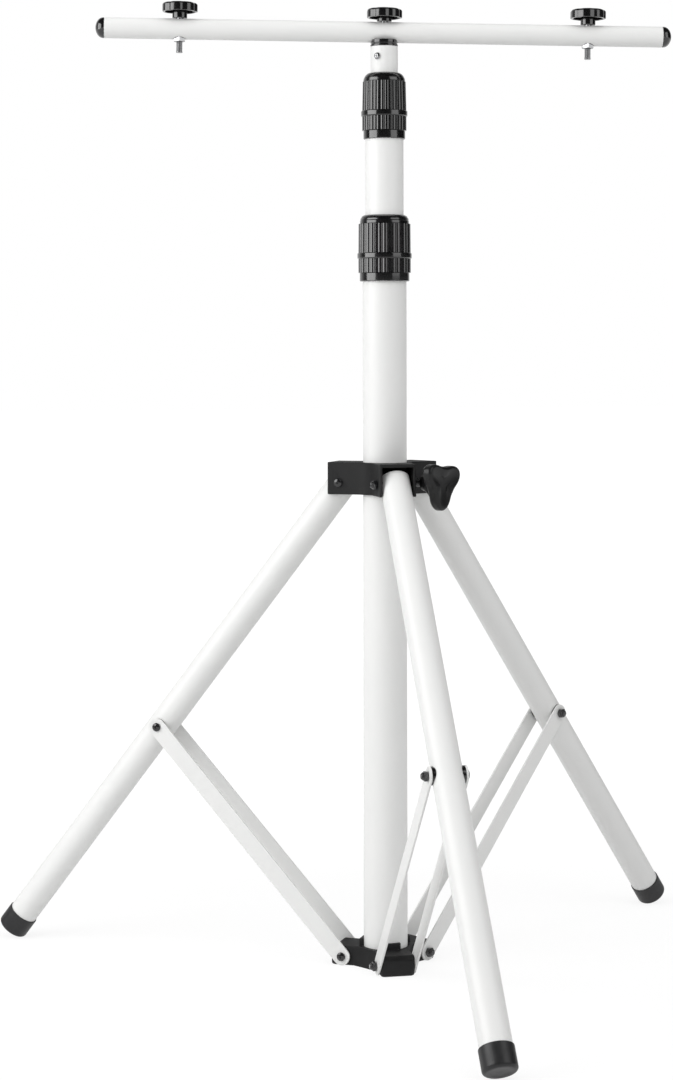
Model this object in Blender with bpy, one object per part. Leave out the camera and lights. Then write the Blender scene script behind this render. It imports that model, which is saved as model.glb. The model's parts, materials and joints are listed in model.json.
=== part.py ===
"""Light stand with a telescopic mast, three folding legs and a crossbar for two lamps.

Metres, +Z up, standing on the floor at z = 0 with the front leg towards -Y.
The origin is under the middle of the footprint, so the mast stands behind it, at MAST_Y.
"""

import math

import bpy
import bmesh
import mathutils

# Clearances
GAP = 0.0003
SLIDE_PLAY = 0.0004
PIN_PLAY = 0.0003
COLLAR_PLAY = 0.0013
LOOSE_PIN_PLAY = 0.0019
CHEEK_PLAY = 0.0009

# Legs, measured from the pivot in the collar
LEG_DIAMETER = 0.027
LEG_WALL = 0.0012
LEG_LENGTH = 0.5475
LEG_ABOVE_PIVOT = 0.006
LEG_ANGLE = math.radians(37.66)
LEG_PIVOT_RADIUS = 0.0396
STRUT_PIVOT_ALONG_LEG = 0.2924
LEG_AZIMUTHS = {"front": 0.0, "right": 120.0, "left": -120.0}

# Boots on the ends of the legs
BOOT_DIAMETER = 0.029
BOOT_HEIGHT = 0.0202
BOOT_FLOOR = 0.003
BOOT_EDGE = 0.003

# Struts, two to a leg
STRUT_LENGTH = 0.2707
STRUT_WIDTH = 0.016
STRUT_THICKNESS = 0.002
STRUT_PIVOT_RADIUS = 0.0373
SADDLE_WASHER_DIAMETER = 0.0158
SADDLE_WASHER_WAIST = 0.0005

# Bolts of the legs and struts
BOLT_DIAMETER = 0.005
BOLT_HEAD_DIAMETER = 0.008
BOLT_HEAD_HEIGHT = 0.0021
BOLT_TIP = 0.001
LOCK_NUT_ACROSS_FLATS = 0.008
LOCK_NUT_HEIGHT = 0.005

# Collar that carries the legs on the mast
COLLAR_ABOVE_PIVOT = 0.0186
COLLAR_BELOW_PIVOT = 0.0108
COLLAR_PLATE = 0.003
COLLAR_CHEEK = 0.0026
COLLAR_REACH = 0.0500
COLLAR_RING_WALL = 0.0022
COLLAR_WEB_DISTANCE = 0.0245

# Clamp screw in the collar
CLAMP_AZIMUTH = 36.0
CLAMP_ABOVE_PIVOT = 0.0013
CLAMP_BOSS_DIAMETER = 0.014
CLAMP_BOSS_REACH = 0.0355
CLAMP_SCREW_DIAMETER = 0.008
CLAMP_HUB_START = 0.0465
CLAMP_HUB_DIAMETER = 0.015
CLAMP_STAR_START = 0.0595
CLAMP_STAR_THICKNESS = 0.0115
CLAMP_STAR_RADIUS = 0.0246
CLAMP_WAIST_RADIUS = 0.0152
CLAMP_WING_TAPER = 1.45
CLAMP_STAR_TURN = -5.0
CLAMP_EDGE = 0.0026
CLAMP_SOCKET_DEPTH = 0.0155

# Foot of the mast
FOOT_REACH = 0.0476
FOOT_ARM_WIDTH = 0.0309
FOOT_CORNER = 0.0026
FOOT_UNDERSIDE_BELOW_PIN = 0.0076
FOOT_TOP_ABOVE_PIN = 0.0098
FOOT_FLOOR = 0.003
FOOT_WEB_DISTANCE = 0.0245
FOOT_CHAMFER = 0.0040
FOOT_TAB_WIDTH = 0.017
FOOT_TAB_WALL = 0.0026
FOOT_TAB_HEIGHT = 0.0060

# Mast tubes
OUTER_DIAMETER = 0.040
MIDDLE_DIAMETER = 0.035
TOP_DIAMETER = 0.025
OUTER_WALL = 0.0015
MIDDLE_WALL = 0.0015
TOP_WALL = 0.0012
OUTER_TOP_HEIGHT = 0.64675
MIDDLE_SHOWN = 0.0694
TOP_SHOWN = 0.0242
MIDDLE_LENGTH = 0.620
TOP_LENGTH = 0.590

# Bushes at the hidden ends of the inner tubes
BUSH_COLLAR = 0.008
BUSH_SPIGOT = 0.014
BUSH_WALL = 0.0018

# Twist locks, measured from the end of the tube that they are on
LOCK_BELOW_TUBE_END = 0.0219
LOCK_ABOVE_TUBE_END = 0.0387
RIB_COUNT = 34
RIB_DEPTH = 0.0010
LOCK_SKIRT_HEIGHT = 0.0077
SHORT_RIBS_HEIGHT = 0.0130
BEAD_HEIGHT = 0.0052
LOCK_COLLAR_HEIGHT = 0.0080
LOCK_ROUNDING = 0.0060
LOCK_LIP = 0.0045
LOCK_CONE = 0.0050
LOCK_WALL = 0.0012
LOCK_BEAD_STEP = 0.0010
COLLET_BEVEL = 0.0012
LOWER_LOCK_SKIRT = 0.0454
LOWER_LOCK_RIBS = 0.0478
LOWER_LOCK_COLLAR = 0.0449
LOWER_LOCK_NOSE = 0.0402
UPPER_LOCK_SKIRT = 0.0382
UPPER_LOCK_RIBS = 0.0404
UPPER_LOCK_COLLAR = 0.0383
UPPER_LOCK_NOSE = 0.0315

# Crossbar and its caps
BAR_DIAMETER = 0.019
BAR_WALL = 0.0012
BAR_HALF_LENGTH = 0.2554
LAMP_HOLE_OFFSET = 0.187
CROSSBAR_TURN = -10.9
CROSSBAR_TILT = math.radians(0.87)
CAP_RIM = 0.0008
CAP_DOME = 0.0072
CAP_SPIGOT = 0.012
CAP_SPIGOT_RADIUS = 0.0075

# Saddle between the mast and the crossbar
SADDLE_DIAMETER = 0.0253
SADDLE_SEAT_DROP = 0.0030
SADDLE_LIP = 0.0024
SADDLE_GROOVE = 0.0012
SADDLE_GROOVE_DEPTH = 0.0008
SADDLE_SPIGOT = 0.020
STUD_BELOW_MIDDLE = 0.030
SADDLE_SCREW_DROP = 0.0096
SADDLE_SCREW_AZIMUTH = -32.0
SADDLE_SCREW_DIAMETER = 0.004
SADDLE_SCREW_LENGTH = 0.007
SADDLE_SCREW_HEAD_DIAMETER = 0.0062
SADDLE_SCREW_HEAD_HEIGHT = 0.0016

# Knobs on the crossbar
KNOB_DIAMETER = 0.0326
KNOB_LOBES = 7
KNOB_LOBE_DEPTH = 0.0010
KNOB_DISC_HEIGHT = 0.0092
MIDDLE_KNOB_BOSS_DROP = 0.0034
LAMP_KNOB_BOSS_DROP = 0.0058
KNOB_BOSS_DIAMETER = 0.0136
KNOB_SKIRT_WALL = 0.0022
KNOB_HOLLOW = 0.0055
KNOB_SHOULDER = 0.0026
KNOB_CROWN = 0.0006
STUD_DIAMETER = 0.006
STUD_IN_KNOB = 0.009
STUD_BELOW_BAR = 0.0123
LAMP_NUT_ACROSS_FLATS = 0.010
LAMP_NUT_HEIGHT = 0.005
LAMP_NUT_BELOW_BAR = 0.0022

# Facets
TUBE_ROUND = 36
ROUND = 28
SMALL_ROUND = 16
PIN_ROUND = 12
ARC_STEPS = 3

WHITE = (0.86, 0.86, 0.85)
BLACK = (0.022, 0.022, 0.024)
RUBBER = (0.030, 0.030, 0.032)
ZINC = (0.55, 0.55, 0.56)


def clear_scene():
    for thing in list(bpy.data.objects):
        bpy.data.objects.remove(thing, do_unlink=True)


def principled(name, color, roughness, metallic):
    material = bpy.data.materials.new(name)
    material.use_nodes = True
    shader = material.node_tree.nodes["Principled BSDF"]
    shader.inputs["Base Color"].default_value = (*color, 1.0)
    shader.inputs["Roughness"].default_value = roughness
    shader.inputs["Metallic"].default_value = metallic
    material.diffuse_color = (*color, 1.0)
    return material


def white_paint(name):
    return principled(name + "_paint", WHITE, 0.32, 0.0)


def black_plastic(name):
    return principled(name + "_plastic", BLACK, 0.42, 0.0)


def black_rubber(name):
    return principled(name + "_rubber", RUBBER, 0.55, 0.0)


def black_steel(name):
    return principled(name + "_steel", BLACK, 0.35, 0.6)


def zinc_steel(name):
    return principled(name + "_zinc", ZINC, 0.30, 1.0)


def frame(name, parent=None, location=(0.0, 0.0, 0.0), azimuth=0.0):
    """An empty that carries the pieces placed around the mast or a joint."""
    empty = bpy.data.objects.new(name, None)
    empty.location = location
    empty.rotation_euler = (0.0, 0.0, math.radians(azimuth))
    empty.parent = parent
    bpy.context.collection.objects.link(empty)
    return empty


def place(name, mesh, finish, parent, location=(0.0, 0.0, 0.0), rotation=(0.0, 0.0, 0.0)):
    """One sub-part, with its own material."""
    piece = bpy.data.objects.new(name, mesh)
    piece.location = location
    piece.rotation_euler = rotation
    piece.parent = parent
    bpy.context.collection.objects.link(piece)
    if not mesh.materials:
        mesh.materials.append(None)
    piece.material_slots[0].link = "OBJECT"
    piece.material_slots[0].material = finish(name)
    return piece


def to_mesh(name, bm, smooth=True):
    bmesh.ops.recalc_face_normals(bm, faces=bm.faces)
    mesh = bpy.data.meshes.new(name)
    bm.to_mesh(mesh)
    bm.free()
    if smooth:
        mesh.shade_smooth()
        mesh.set_sharp_from_angle(angle=math.radians(35.0))
    return mesh


def ring_points(radius, height, count):
    """Points on a level circle; radius may be a function of the angle."""
    points = []
    for step in range(count):
        angle = 2.0 * math.pi * step / count
        reach = radius(angle) if callable(radius) else radius
        points.append((reach * math.cos(angle), reach * math.sin(angle), height))
    return points


def join_rows(bm, low, high):
    """Faces between two rows with the same count, one double the other, or one a single point."""
    if len(low) > len(high):
        low, high = high, low
    count = len(high)
    for step in range(count):
        after = (step + 1) % count
        if len(low) == 1:
            bm.faces.new((low[0], high[step], high[after]))
        elif len(low) == count:
            bm.faces.new((low[step], low[after], high[after], high[step]))
        elif step % 2 == 0:
            here = step // 2
            ahead = (here + 1) % len(low)
            bm.faces.new((low[here], high[after], high[step]))
            bm.faces.new((low[here], low[ahead], high[after]))
        else:
            ahead = ((step + 1) // 2) % len(low)
            bm.faces.new((low[ahead], high[after], high[step]))


def skin(rows, closed):
    """A body through rows of points; closed joins the last row to the first."""
    bm = bmesh.new()
    laid = [[bm.verts.new(point) for point in row] for row in rows]
    for low, high in zip(laid, laid[1:]):
        join_rows(bm, low, high)
    if closed:
        join_rows(bm, laid[-1], laid[0])
    return bm


def turned(profile, count, closed=True):
    """A turned body from (radius, height) points; a zero radius is a point on the axis."""
    rows = []
    for radius, height in profile:
        on_axis = not callable(radius) and radius == 0.0
        rows.append([(0.0, 0.0, height)] if on_axis else ring_points(radius, height, count))
    return skin(rows, closed)


def extruded(outline, low, high):
    """A prism over a plan outline given in order."""
    bm = bmesh.new()
    base = bm.faces.new([bm.verts.new((x, y, low)) for x, y in outline])
    grown = bmesh.ops.extrude_face_region(bm, geom=[base])["geom"]
    lifted = [item for item in grown if isinstance(item, bmesh.types.BMVert)]
    bmesh.ops.translate(bm, verts=lifted, vec=(0.0, 0.0, high - low))
    return bm


def box(low, high):
    outline = [(low[0], low[1]), (high[0], low[1]), (high[0], high[1]), (low[0], high[1])]
    return extruded(outline, low[2], high[2])


def rod(radius, low, high, count=SMALL_ROUND):
    return extruded([point[:2] for point in ring_points(radius, 0.0, count)], low, high)


def moved(bm, location=(0.0, 0.0, 0.0), rotation=(0.0, 0.0, 0.0)):
    """Turns a body about its X, Y and Z axes in that order, then shifts it."""
    matrix = bmesh_matrix(location, rotation)
    bmesh.ops.transform(bm, matrix=matrix, verts=bm.verts)
    return bm


def bmesh_matrix(location, rotation):
    guide = bpy.data.objects.new("guide", None)
    guide.location = location
    guide.rotation_euler = rotation
    matrix = guide.matrix_basis.copy()
    bpy.data.objects.remove(guide)
    return matrix


def combined(name, base, steps):
    """Applies (operation, body) steps to a body with exact Booleans."""
    body = bpy.data.objects.new(name, to_mesh(name, base, smooth=False))
    bpy.context.collection.objects.link(body)
    tools = []
    for operation, tool_body in steps:
        tool = bpy.data.objects.new(name + "_tool", to_mesh(name + "_tool", tool_body, smooth=False))
        bpy.context.collection.objects.link(tool)
        tools.append(tool)
        step = body.modifiers.new(operation.lower(), "BOOLEAN")
        step.operation = operation
        step.solver = "EXACT"
        step.object = tool
    seen = body.evaluated_get(bpy.context.evaluated_depsgraph_get())
    mesh = bpy.data.meshes.new_from_object(seen)
    mesh.name = name
    for thing in [body, *tools]:
        bpy.data.objects.remove(thing, do_unlink=True)
    mesh.shade_smooth()
    mesh.set_sharp_from_angle(angle=math.radians(35.0))
    return mesh


def cross_hole(diameter, reach, height=0.0, along=0.0):
    """A hole tool along X."""
    turn = (0.0, math.radians(90.0), 0.0)
    return moved(rod(diameter / 2.0, -reach, reach), (0.0, along, height), turn)


def edge_arc(radius, height, edge, start, end, steps=ARC_STEPS):
    """Profile points round an edge whose arc centre is at (radius, height)."""
    points = []
    for step in range(steps + 1):
        angle = math.radians(start + (end - start) * step / steps)
        points.append((radius + edge * math.cos(angle), height + edge * math.sin(angle)))
    return points


# Sizes that follow from the ones above

def boot_profile():
    """Outside and inside of a boot, from the leg's pivot along the leg, heights negative."""
    outer = BOOT_DIAMETER / 2.0
    inner = LEG_DIAMETER / 2.0 + GAP
    end = -LEG_LENGTH
    mouth = end + BOOT_HEIGHT
    rounded = edge_arc(outer - BOOT_EDGE, end + BOOT_EDGE, BOOT_EDGE, -90.0, 0.0)
    inside = [(inner, mouth), (inner, end + BOOT_FLOOR), (0.0, end + BOOT_FLOOR)]
    return [(0.0, end), *rounded, (outer, mouth), *inside]


def foot_drop():
    """How far the lowest point of a boot lies below the leg's pivot when open."""
    return max(
        radius * math.sin(LEG_ANGLE) - height * math.cos(LEG_ANGLE)
        for radius, height in boot_profile()
    )


def foot_reach(turn):
    """How far a boot reaches from the mast along a level direction turned from the leg's own."""
    across = math.cos(turn)
    sideways = math.sin(turn)
    spread = math.hypot(across * math.cos(LEG_ANGLE), sideways)
    return max(
        across * (LEG_PIVOT_RADIUS - height * math.sin(LEG_ANGLE)) + radius * spread
        for radius, height in boot_profile()
    )


HUB_PIVOT_HEIGHT = foot_drop()
MAST_Y = (foot_reach(0.0) - foot_reach(math.radians(60.0))) / 2.0
STRUT_TOP_RADIUS = LEG_PIVOT_RADIUS + STRUT_PIVOT_ALONG_LEG * math.sin(LEG_ANGLE)
STRUT_TOP_HEIGHT = HUB_PIVOT_HEIGHT - STRUT_PIVOT_ALONG_LEG * math.cos(LEG_ANGLE)
STRUT_ANGLE = math.asin((STRUT_TOP_RADIUS - STRUT_PIVOT_RADIUS) / STRUT_LENGTH)
FOOT_PIN_HEIGHT = STRUT_TOP_HEIGHT - STRUT_LENGTH * math.cos(STRUT_ANGLE)

FOOT_UNDERSIDE = FOOT_PIN_HEIGHT - FOOT_UNDERSIDE_BELOW_PIN
FOOT_TOP = FOOT_PIN_HEIGHT + FOOT_TOP_ABOVE_PIN
OUTER_BOTTOM = FOOT_UNDERSIDE + FOOT_FLOOR + GAP

WASHER_INNER_FACE = LEG_DIAMETER / 2.0 + GAP
WASHER_OUTER_FACE = WASHER_INNER_FACE + SADDLE_WASHER_WAIST
STRUT_INNER_FACE = WASHER_OUTER_FACE + GAP
STRUT_OUTER_FACE = STRUT_INNER_FACE + STRUT_THICKNESS
STRUT_BOLT_SEAT = STRUT_OUTER_FACE + GAP
STRUT_FOOT_OFFSET = FOOT_ARM_WIDTH / 2.0 + GAP + STRUT_THICKNESS / 2.0
FOOT_BOLT_SEAT = STRUT_FOOT_OFFSET + STRUT_THICKNESS / 2.0 + GAP
STRUT_SPLAY = math.asin((STRUT_FOOT_OFFSET - STRUT_INNER_FACE - STRUT_THICKNESS / 2.0) / STRUT_LENGTH)

COLLAR_INNER_HALF = LEG_DIAMETER / 2.0 + CHEEK_PLAY
COLLAR_OUTER_HALF = COLLAR_INNER_HALF + COLLAR_CHEEK
COLLAR_BORE = OUTER_DIAMETER / 2.0 + COLLAR_PLAY

LOWER_LOCK_TOP = OUTER_TOP_HEIGHT + LOCK_ABOVE_TUBE_END
UPPER_LOCK_BOTTOM = LOWER_LOCK_TOP + MIDDLE_SHOWN
MIDDLE_TOP_HEIGHT = UPPER_LOCK_BOTTOM + LOCK_BELOW_TUBE_END
UPPER_LOCK_TOP = MIDDLE_TOP_HEIGHT + LOCK_ABOVE_TUBE_END
TOP_TOP_HEIGHT = UPPER_LOCK_TOP + TOP_SHOWN
SADDLE_SHOULDER = TOP_TOP_HEIGHT + GAP
BAR_BOTTOM_HEIGHT = SADDLE_SHOULDER + SADDLE_SEAT_DROP + GAP
BAR_HEIGHT = BAR_BOTTOM_HEIGHT + BAR_DIAMETER / 2.0


def leg_mesh():
    """A tube cut square above its pivot, short enough to swing under the collar's plate."""
    bottom = -LEG_LENGTH + BOOT_FLOOR + GAP
    profile = tube_profile(LEG_DIAMETER, LEG_WALL, bottom, LEG_ABOVE_PIVOT)
    pivot_hole = cross_hole(BOLT_DIAMETER + 2.0 * LOOSE_PIN_PLAY, LEG_DIAMETER)
    strut_hole = cross_hole(BOLT_DIAMETER + 2.0 * PIN_PLAY, LEG_DIAMETER, -STRUT_PIVOT_ALONG_LEG)
    steps = [("DIFFERENCE", pivot_hole), ("DIFFERENCE", strut_hole)]
    return combined("leg_tube", turned(profile, ROUND), steps)


def strut_mesh(sign):
    """A flat bar with round ends on its lower pin, leaning in towards the leg from one side."""
    half = STRUT_WIDTH / 2.0
    turns = 8
    outline = []
    for step in range(turns + 1):
        angle = math.pi + math.pi * step / turns
        outline.append((half * math.cos(angle), half * math.sin(angle)))
    for step in range(turns + 1):
        angle = math.pi * step / turns
        outline.append((half * math.cos(angle), STRUT_LENGTH + half * math.sin(angle)))
    flat = extruded(outline, -STRUT_THICKNESS / 2.0, STRUT_THICKNESS / 2.0)
    upright = moved(flat, rotation=(math.radians(90.0), 0.0, math.radians(90.0)))
    hole = BOLT_DIAMETER + 2.0 * PIN_PLAY
    low_hole = cross_hole(hole, STRUT_THICKNESS)
    high_hole = cross_hole(hole, STRUT_THICKNESS, STRUT_LENGTH)
    steps = [("DIFFERENCE", low_hole), ("DIFFERENCE", high_hole)]
    lean = mathutils.Matrix.Rotation(-sign * STRUT_SPLAY, 4, "Y")
    mesh = combined("strut_bar", upright, steps)
    mesh.transform(lean)
    return mesh


def saddle_washer_mesh(sign):
    """A round washer whose inner face is hollowed to lie against the leg, on one side of it."""
    across = (0.0, math.radians(90.0), 0.0)
    radius = SADDLE_WASHER_DIAMETER / 2.0
    disc = rod(radius, sign * radius, sign * WASHER_OUTER_FACE)
    hollow = rod(WASHER_INNER_FACE, -LEG_DIAMETER, LEG_DIAMETER, 2 * ROUND)
    hole = cross_hole(BOLT_DIAMETER + 2.0 * PIN_PLAY, LEG_DIAMETER)
    steps = [("DIFFERENCE", hollow), ("DIFFERENCE", hole)]
    return combined("saddle_washer", moved(disc, rotation=across), steps)


def button_head(seat, height, radius):
    """Profile of a low round head standing on its seat, from the edge to the axis."""
    return [
        (radius, seat),
        (radius, seat + height * 0.5),
        (radius * 0.65, seat + height),
        (0.0, seat + height),
    ]


def hex_reach(across_flats):
    """Distance to the side of a hexagon as a function of the angle."""
    def reach(angle):
        from_flat = (angle + math.radians(30.0)) % math.radians(60.0) - math.radians(30.0)
        return across_flats / 2.0 / math.cos(from_flat)
    return reach


def bolt_mesh(name, seat, nut_fixed):
    """A bolt along Z, its head at +Z and its tip at -Z, with or without its lock nut."""
    shaft = BOLT_DIAMETER / 2.0
    nut_end = seat + LOCK_NUT_HEIGHT
    tip = nut_end + BOLT_TIP
    profile = [(0.0, -tip), (shaft, -tip)]
    if nut_fixed:
        side = hex_reach(LOCK_NUT_ACROSS_FLATS)
        profile += [(shaft, -nut_end), (side, -nut_end), (side, -seat), (shaft, -seat)]
    profile += [(shaft, seat), *button_head(seat, BOLT_HEAD_HEIGHT, BOLT_HEAD_DIAMETER / 2.0)]
    return to_mesh(name, turned(profile, PIN_ROUND, closed=False))


def nut_mesh(name, across_flats, bore_diameter, height):
    """A hexagon nut standing on z = 0."""
    bore = bore_diameter / 2.0 + PIN_PLAY
    side = hex_reach(across_flats)
    profile = [(bore, 0.0), (side, 0.0), (side, height), (bore, height)]
    return to_mesh(name, turned(profile, PIN_ROUND))


def build_leg_side(side, azimuth, mast, meshes):
    """One leg with its boot, its two struts and their fasteners."""
    arm = frame("side_" + side, mast, azimuth=azimuth)
    hub_pin = (0.0, -LEG_PIVOT_RADIUS, HUB_PIVOT_HEIGHT)
    leg_pin = (0.0, -STRUT_TOP_RADIUS, STRUT_TOP_HEIGHT)
    foot_pin = (0.0, -STRUT_PIVOT_RADIUS, FOOT_PIN_HEIGHT)
    leg_tilt = (-LEG_ANGLE, 0.0, 0.0)
    strut_tilt = (STRUT_ANGLE, 0.0, 0.0)
    across = (0.0, math.radians(90.0), 0.0)
    place("leg_" + side, meshes["leg"], white_paint, arm, hub_pin, leg_tilt)
    place("boot_" + side, meshes["boot"], black_rubber, arm, hub_pin, leg_tilt)
    for hand, sign in (("a", -1.0), ("b", 1.0)):
        at_foot = (sign * STRUT_FOOT_OFFSET, foot_pin[1], foot_pin[2])
        name = side + "_" + hand
        place("strut_" + name, meshes["strut_" + hand], white_paint, arm, at_foot, strut_tilt)
        place("washer_" + name, meshes["washer_" + hand], black_plastic, arm, leg_pin, leg_tilt)
    place("strut_bolt_" + side, meshes["strut_bolt"], black_steel, arm, leg_pin, across)
    nut_foot = (-STRUT_BOLT_SEAT - LOCK_NUT_HEIGHT, leg_pin[1], leg_pin[2])
    place("strut_nut_" + side, meshes["strut_nut"], black_steel, arm, nut_foot, across)
    place("foot_bolt_" + side, meshes["foot_bolt"], black_steel, arm, foot_pin, across)
    place("hub_bolt_" + side, meshes["hub_bolt"], black_steel, arm, hub_pin, across)


def star_outline(half_width, reach, web_distance, corner=0.0):
    """Plan outline of three arms joined by flat webs; the corners of the ends can be cut off."""
    step_out = (web_distance - half_width * math.sin(math.radians(60.0))) / 0.5
    end = [(-half_width, reach - corner)]
    if corner:
        end.append((corner - half_width, reach))
    end += [(-across, out) for across, out in reversed(end)]
    points = []
    for azimuth in (0.0, 120.0, 240.0):
        turn = math.radians(azimuth)
        for across, out in [(-half_width, step_out), *end, (half_width, step_out)]:
            points.append((
                across * math.cos(turn) + out * math.sin(turn),
                across * math.sin(turn) - out * math.cos(turn),
            ))
    return points


def build_collar(mast):
    """The black collar: three channels, closed above and open below, round a bored ring."""
    low = HUB_PIVOT_HEIGHT - COLLAR_BELOW_PIVOT
    high = HUB_PIVOT_HEIGHT + COLLAR_ABOVE_PIVOT
    ring_outside = COLLAR_BORE + COLLAR_RING_WALL
    body = extruded(star_outline(COLLAR_OUTER_HALF, COLLAR_REACH, COLLAR_WEB_DISTANCE), low, high)
    clamp_height = HUB_PIVOT_HEIGHT + CLAMP_ABOVE_PIVOT
    along_clamp = (math.radians(90.0), 0.0, math.radians(CLAMP_AZIMUTH))
    boss = rod(CLAMP_BOSS_DIAMETER / 2.0, COLLAR_BORE, CLAMP_BOSS_REACH, 24)
    steps = [("UNION", moved(boss, (0.0, 0.0, clamp_height), along_clamp))]
    for azimuth in LEG_AZIMUTHS.values():
        turn = (0.0, 0.0, math.radians(azimuth))
        channel = box(
            (-COLLAR_INNER_HALF, -2.0 * COLLAR_REACH, low - COLLAR_PLATE),
            (COLLAR_INNER_HALF, -ring_outside, high - COLLAR_PLATE),
        )
        steps.append(("DIFFERENCE", moved(channel, rotation=turn)))
        hole = cross_hole(
            BOLT_DIAMETER + 2.0 * PIN_PLAY, COLLAR_REACH, HUB_PIVOT_HEIGHT, -LEG_PIVOT_RADIUS
        )
        steps.append(("DIFFERENCE", moved(hole, rotation=turn)))
    bore = rod(COLLAR_BORE, low - COLLAR_PLATE, high + COLLAR_PLATE, TUBE_ROUND)
    screw_way = rod(CLAMP_SCREW_DIAMETER / 2.0 + PIN_PLAY, 0.0, COLLAR_REACH, SMALL_ROUND)
    steps.append(("DIFFERENCE", bore))
    steps.append(("DIFFERENCE", moved(screw_way, (0.0, 0.0, clamp_height), along_clamp)))
    place("leg_hub", combined("leg_hub", body, steps), black_plastic, mast)


def build_clamp(mast):
    """Clamp screw and its three-wing knob, built along Z and laid outwards from the mast."""
    height = HUB_PIVOT_HEIGHT + CLAMP_ABOVE_PIVOT
    holder = frame("clamp_axis", mast, (0.0, 0.0, height), CLAMP_AZIMUTH)
    outwards = (math.radians(90.0), 0.0, 0.0)
    screw = CLAMP_SCREW_DIAMETER / 2.0
    socket_end = CLAMP_HUB_START + CLAMP_SOCKET_DEPTH
    screw_body = rod(screw, COLLAR_BORE, socket_end - GAP)
    place("clamp_screw", to_mesh("clamp_screw", screw_body), zinc_steel, holder, rotation=outwards)

    def star(inset):
        def reach(angle):
            swing = math.cos(3.0 * (angle + math.radians(90.0 - CLAMP_STAR_TURN)))
            lobe = (0.5 + 0.5 * swing) ** CLAMP_WING_TAPER
            return CLAMP_WAIST_RADIUS + (CLAMP_STAR_RADIUS - CLAMP_WAIST_RADIUS) * lobe - inset
        return reach

    back = CLAMP_STAR_START
    front = back + CLAMP_STAR_THICKNESS
    hub = CLAMP_HUB_DIAMETER / 2.0
    profile = [
        (0.0, socket_end),
        (screw + PIN_PLAY, socket_end),
        (screw + PIN_PLAY, CLAMP_HUB_START),
        (hub, CLAMP_HUB_START),
        (hub, back),
        (star(CLAMP_EDGE), back),
        (star(0.0), back + CLAMP_EDGE),
        (star(0.0), front - CLAMP_EDGE),
        (star(CLAMP_EDGE * 0.3), front - CLAMP_EDGE * 0.4),
        (star(CLAMP_EDGE), front),
        (0.0, front),
    ]
    knob = turned(profile, 36, closed=False)
    place("clamp_knob", to_mesh("clamp_knob", knob), black_plastic, holder, rotation=outwards)


def build_foot(mast):
    """The moulded foot: three arms for the struts, a socket for the mast and three upright tabs."""
    socket = OUTER_DIAMETER / 2.0 + GAP
    outline = star_outline(FOOT_ARM_WIDTH / 2.0, FOOT_REACH, FOOT_WEB_DISTANCE, FOOT_CORNER)
    body = extruded(outline, FOOT_UNDERSIDE, FOOT_TOP)
    steps = []
    for azimuth in LEG_AZIMUTHS.values():
        turn = (0.0, 0.0, math.radians(azimuth))
        tab = box(
            (-FOOT_TAB_WIDTH / 2.0, -socket - FOOT_TAB_WALL, FOOT_TOP - FOOT_TAB_WALL),
            (FOOT_TAB_WIDTH / 2.0, -socket / 2.0, FOOT_TOP + FOOT_TAB_HEIGHT),
        )
        steps.append(("UNION", moved(tab, rotation=turn)))
        steps.append(("DIFFERENCE", moved(slope_tool(FOOT_ARM_WIDTH), rotation=turn)))
        hole = cross_hole(
            BOLT_DIAMETER + 2.0 * PIN_PLAY, FOOT_REACH, FOOT_PIN_HEIGHT, -STRUT_PIVOT_RADIUS
        )
        steps.append(("DIFFERENCE", moved(hole, rotation=turn)))
    socket_low = FOOT_UNDERSIDE + FOOT_FLOOR
    socket_high = FOOT_TOP + 2.0 * FOOT_TAB_HEIGHT
    steps.append(("DIFFERENCE", rod(socket, socket_low, socket_high, TUBE_ROUND)))
    place("bottom_hub", combined("bottom_hub", body, steps), black_plastic, mast)


def slope_tool(half):
    """A wedge that cuts the outer top edge of an arm off at a slope."""
    side_view = [
        (FOOT_REACH + FOOT_CHAMFER, FOOT_TOP - 2.0 * FOOT_CHAMFER),
        (FOOT_REACH + FOOT_CHAMFER, FOOT_TOP + FOOT_CHAMFER),
        (FOOT_REACH - 2.0 * FOOT_CHAMFER, FOOT_TOP + FOOT_CHAMFER),
    ]
    upright = moved(extruded(side_view, -half, half), rotation=(math.radians(90.0), 0.0, 0.0))
    return moved(upright, rotation=(0.0, 0.0, math.radians(-90.0)))


def tube_profile(diameter, wall, low, high):
    outer = diameter / 2.0
    inner = outer - wall
    return [(outer, low), (outer, high), (inner, high), (inner, low)]


def tube_mesh(name, diameter, wall, low, high):
    return to_mesh(name, turned(tube_profile(diameter, wall, low, high), TUBE_ROUND))


def bush_mesh(name, outside_diameter, outside_wall, tube_diameter, tube_wall):
    """A bush under a tube's end: a collar that fills the tube around it and a spigot in its own."""
    rim = outside_diameter / 2.0 - outside_wall - GAP
    spigot = tube_diameter / 2.0 - tube_wall - GAP
    bore = spigot - BUSH_WALL
    profile = [
        (bore, -BUSH_COLLAR),
        (rim, -BUSH_COLLAR),
        (rim, 0.0),
        (spigot, 0.0),
        (spigot, BUSH_SPIGOT),
        (bore, BUSH_SPIGOT),
    ]
    return to_mesh(name, turned(profile, ROUND))


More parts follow.
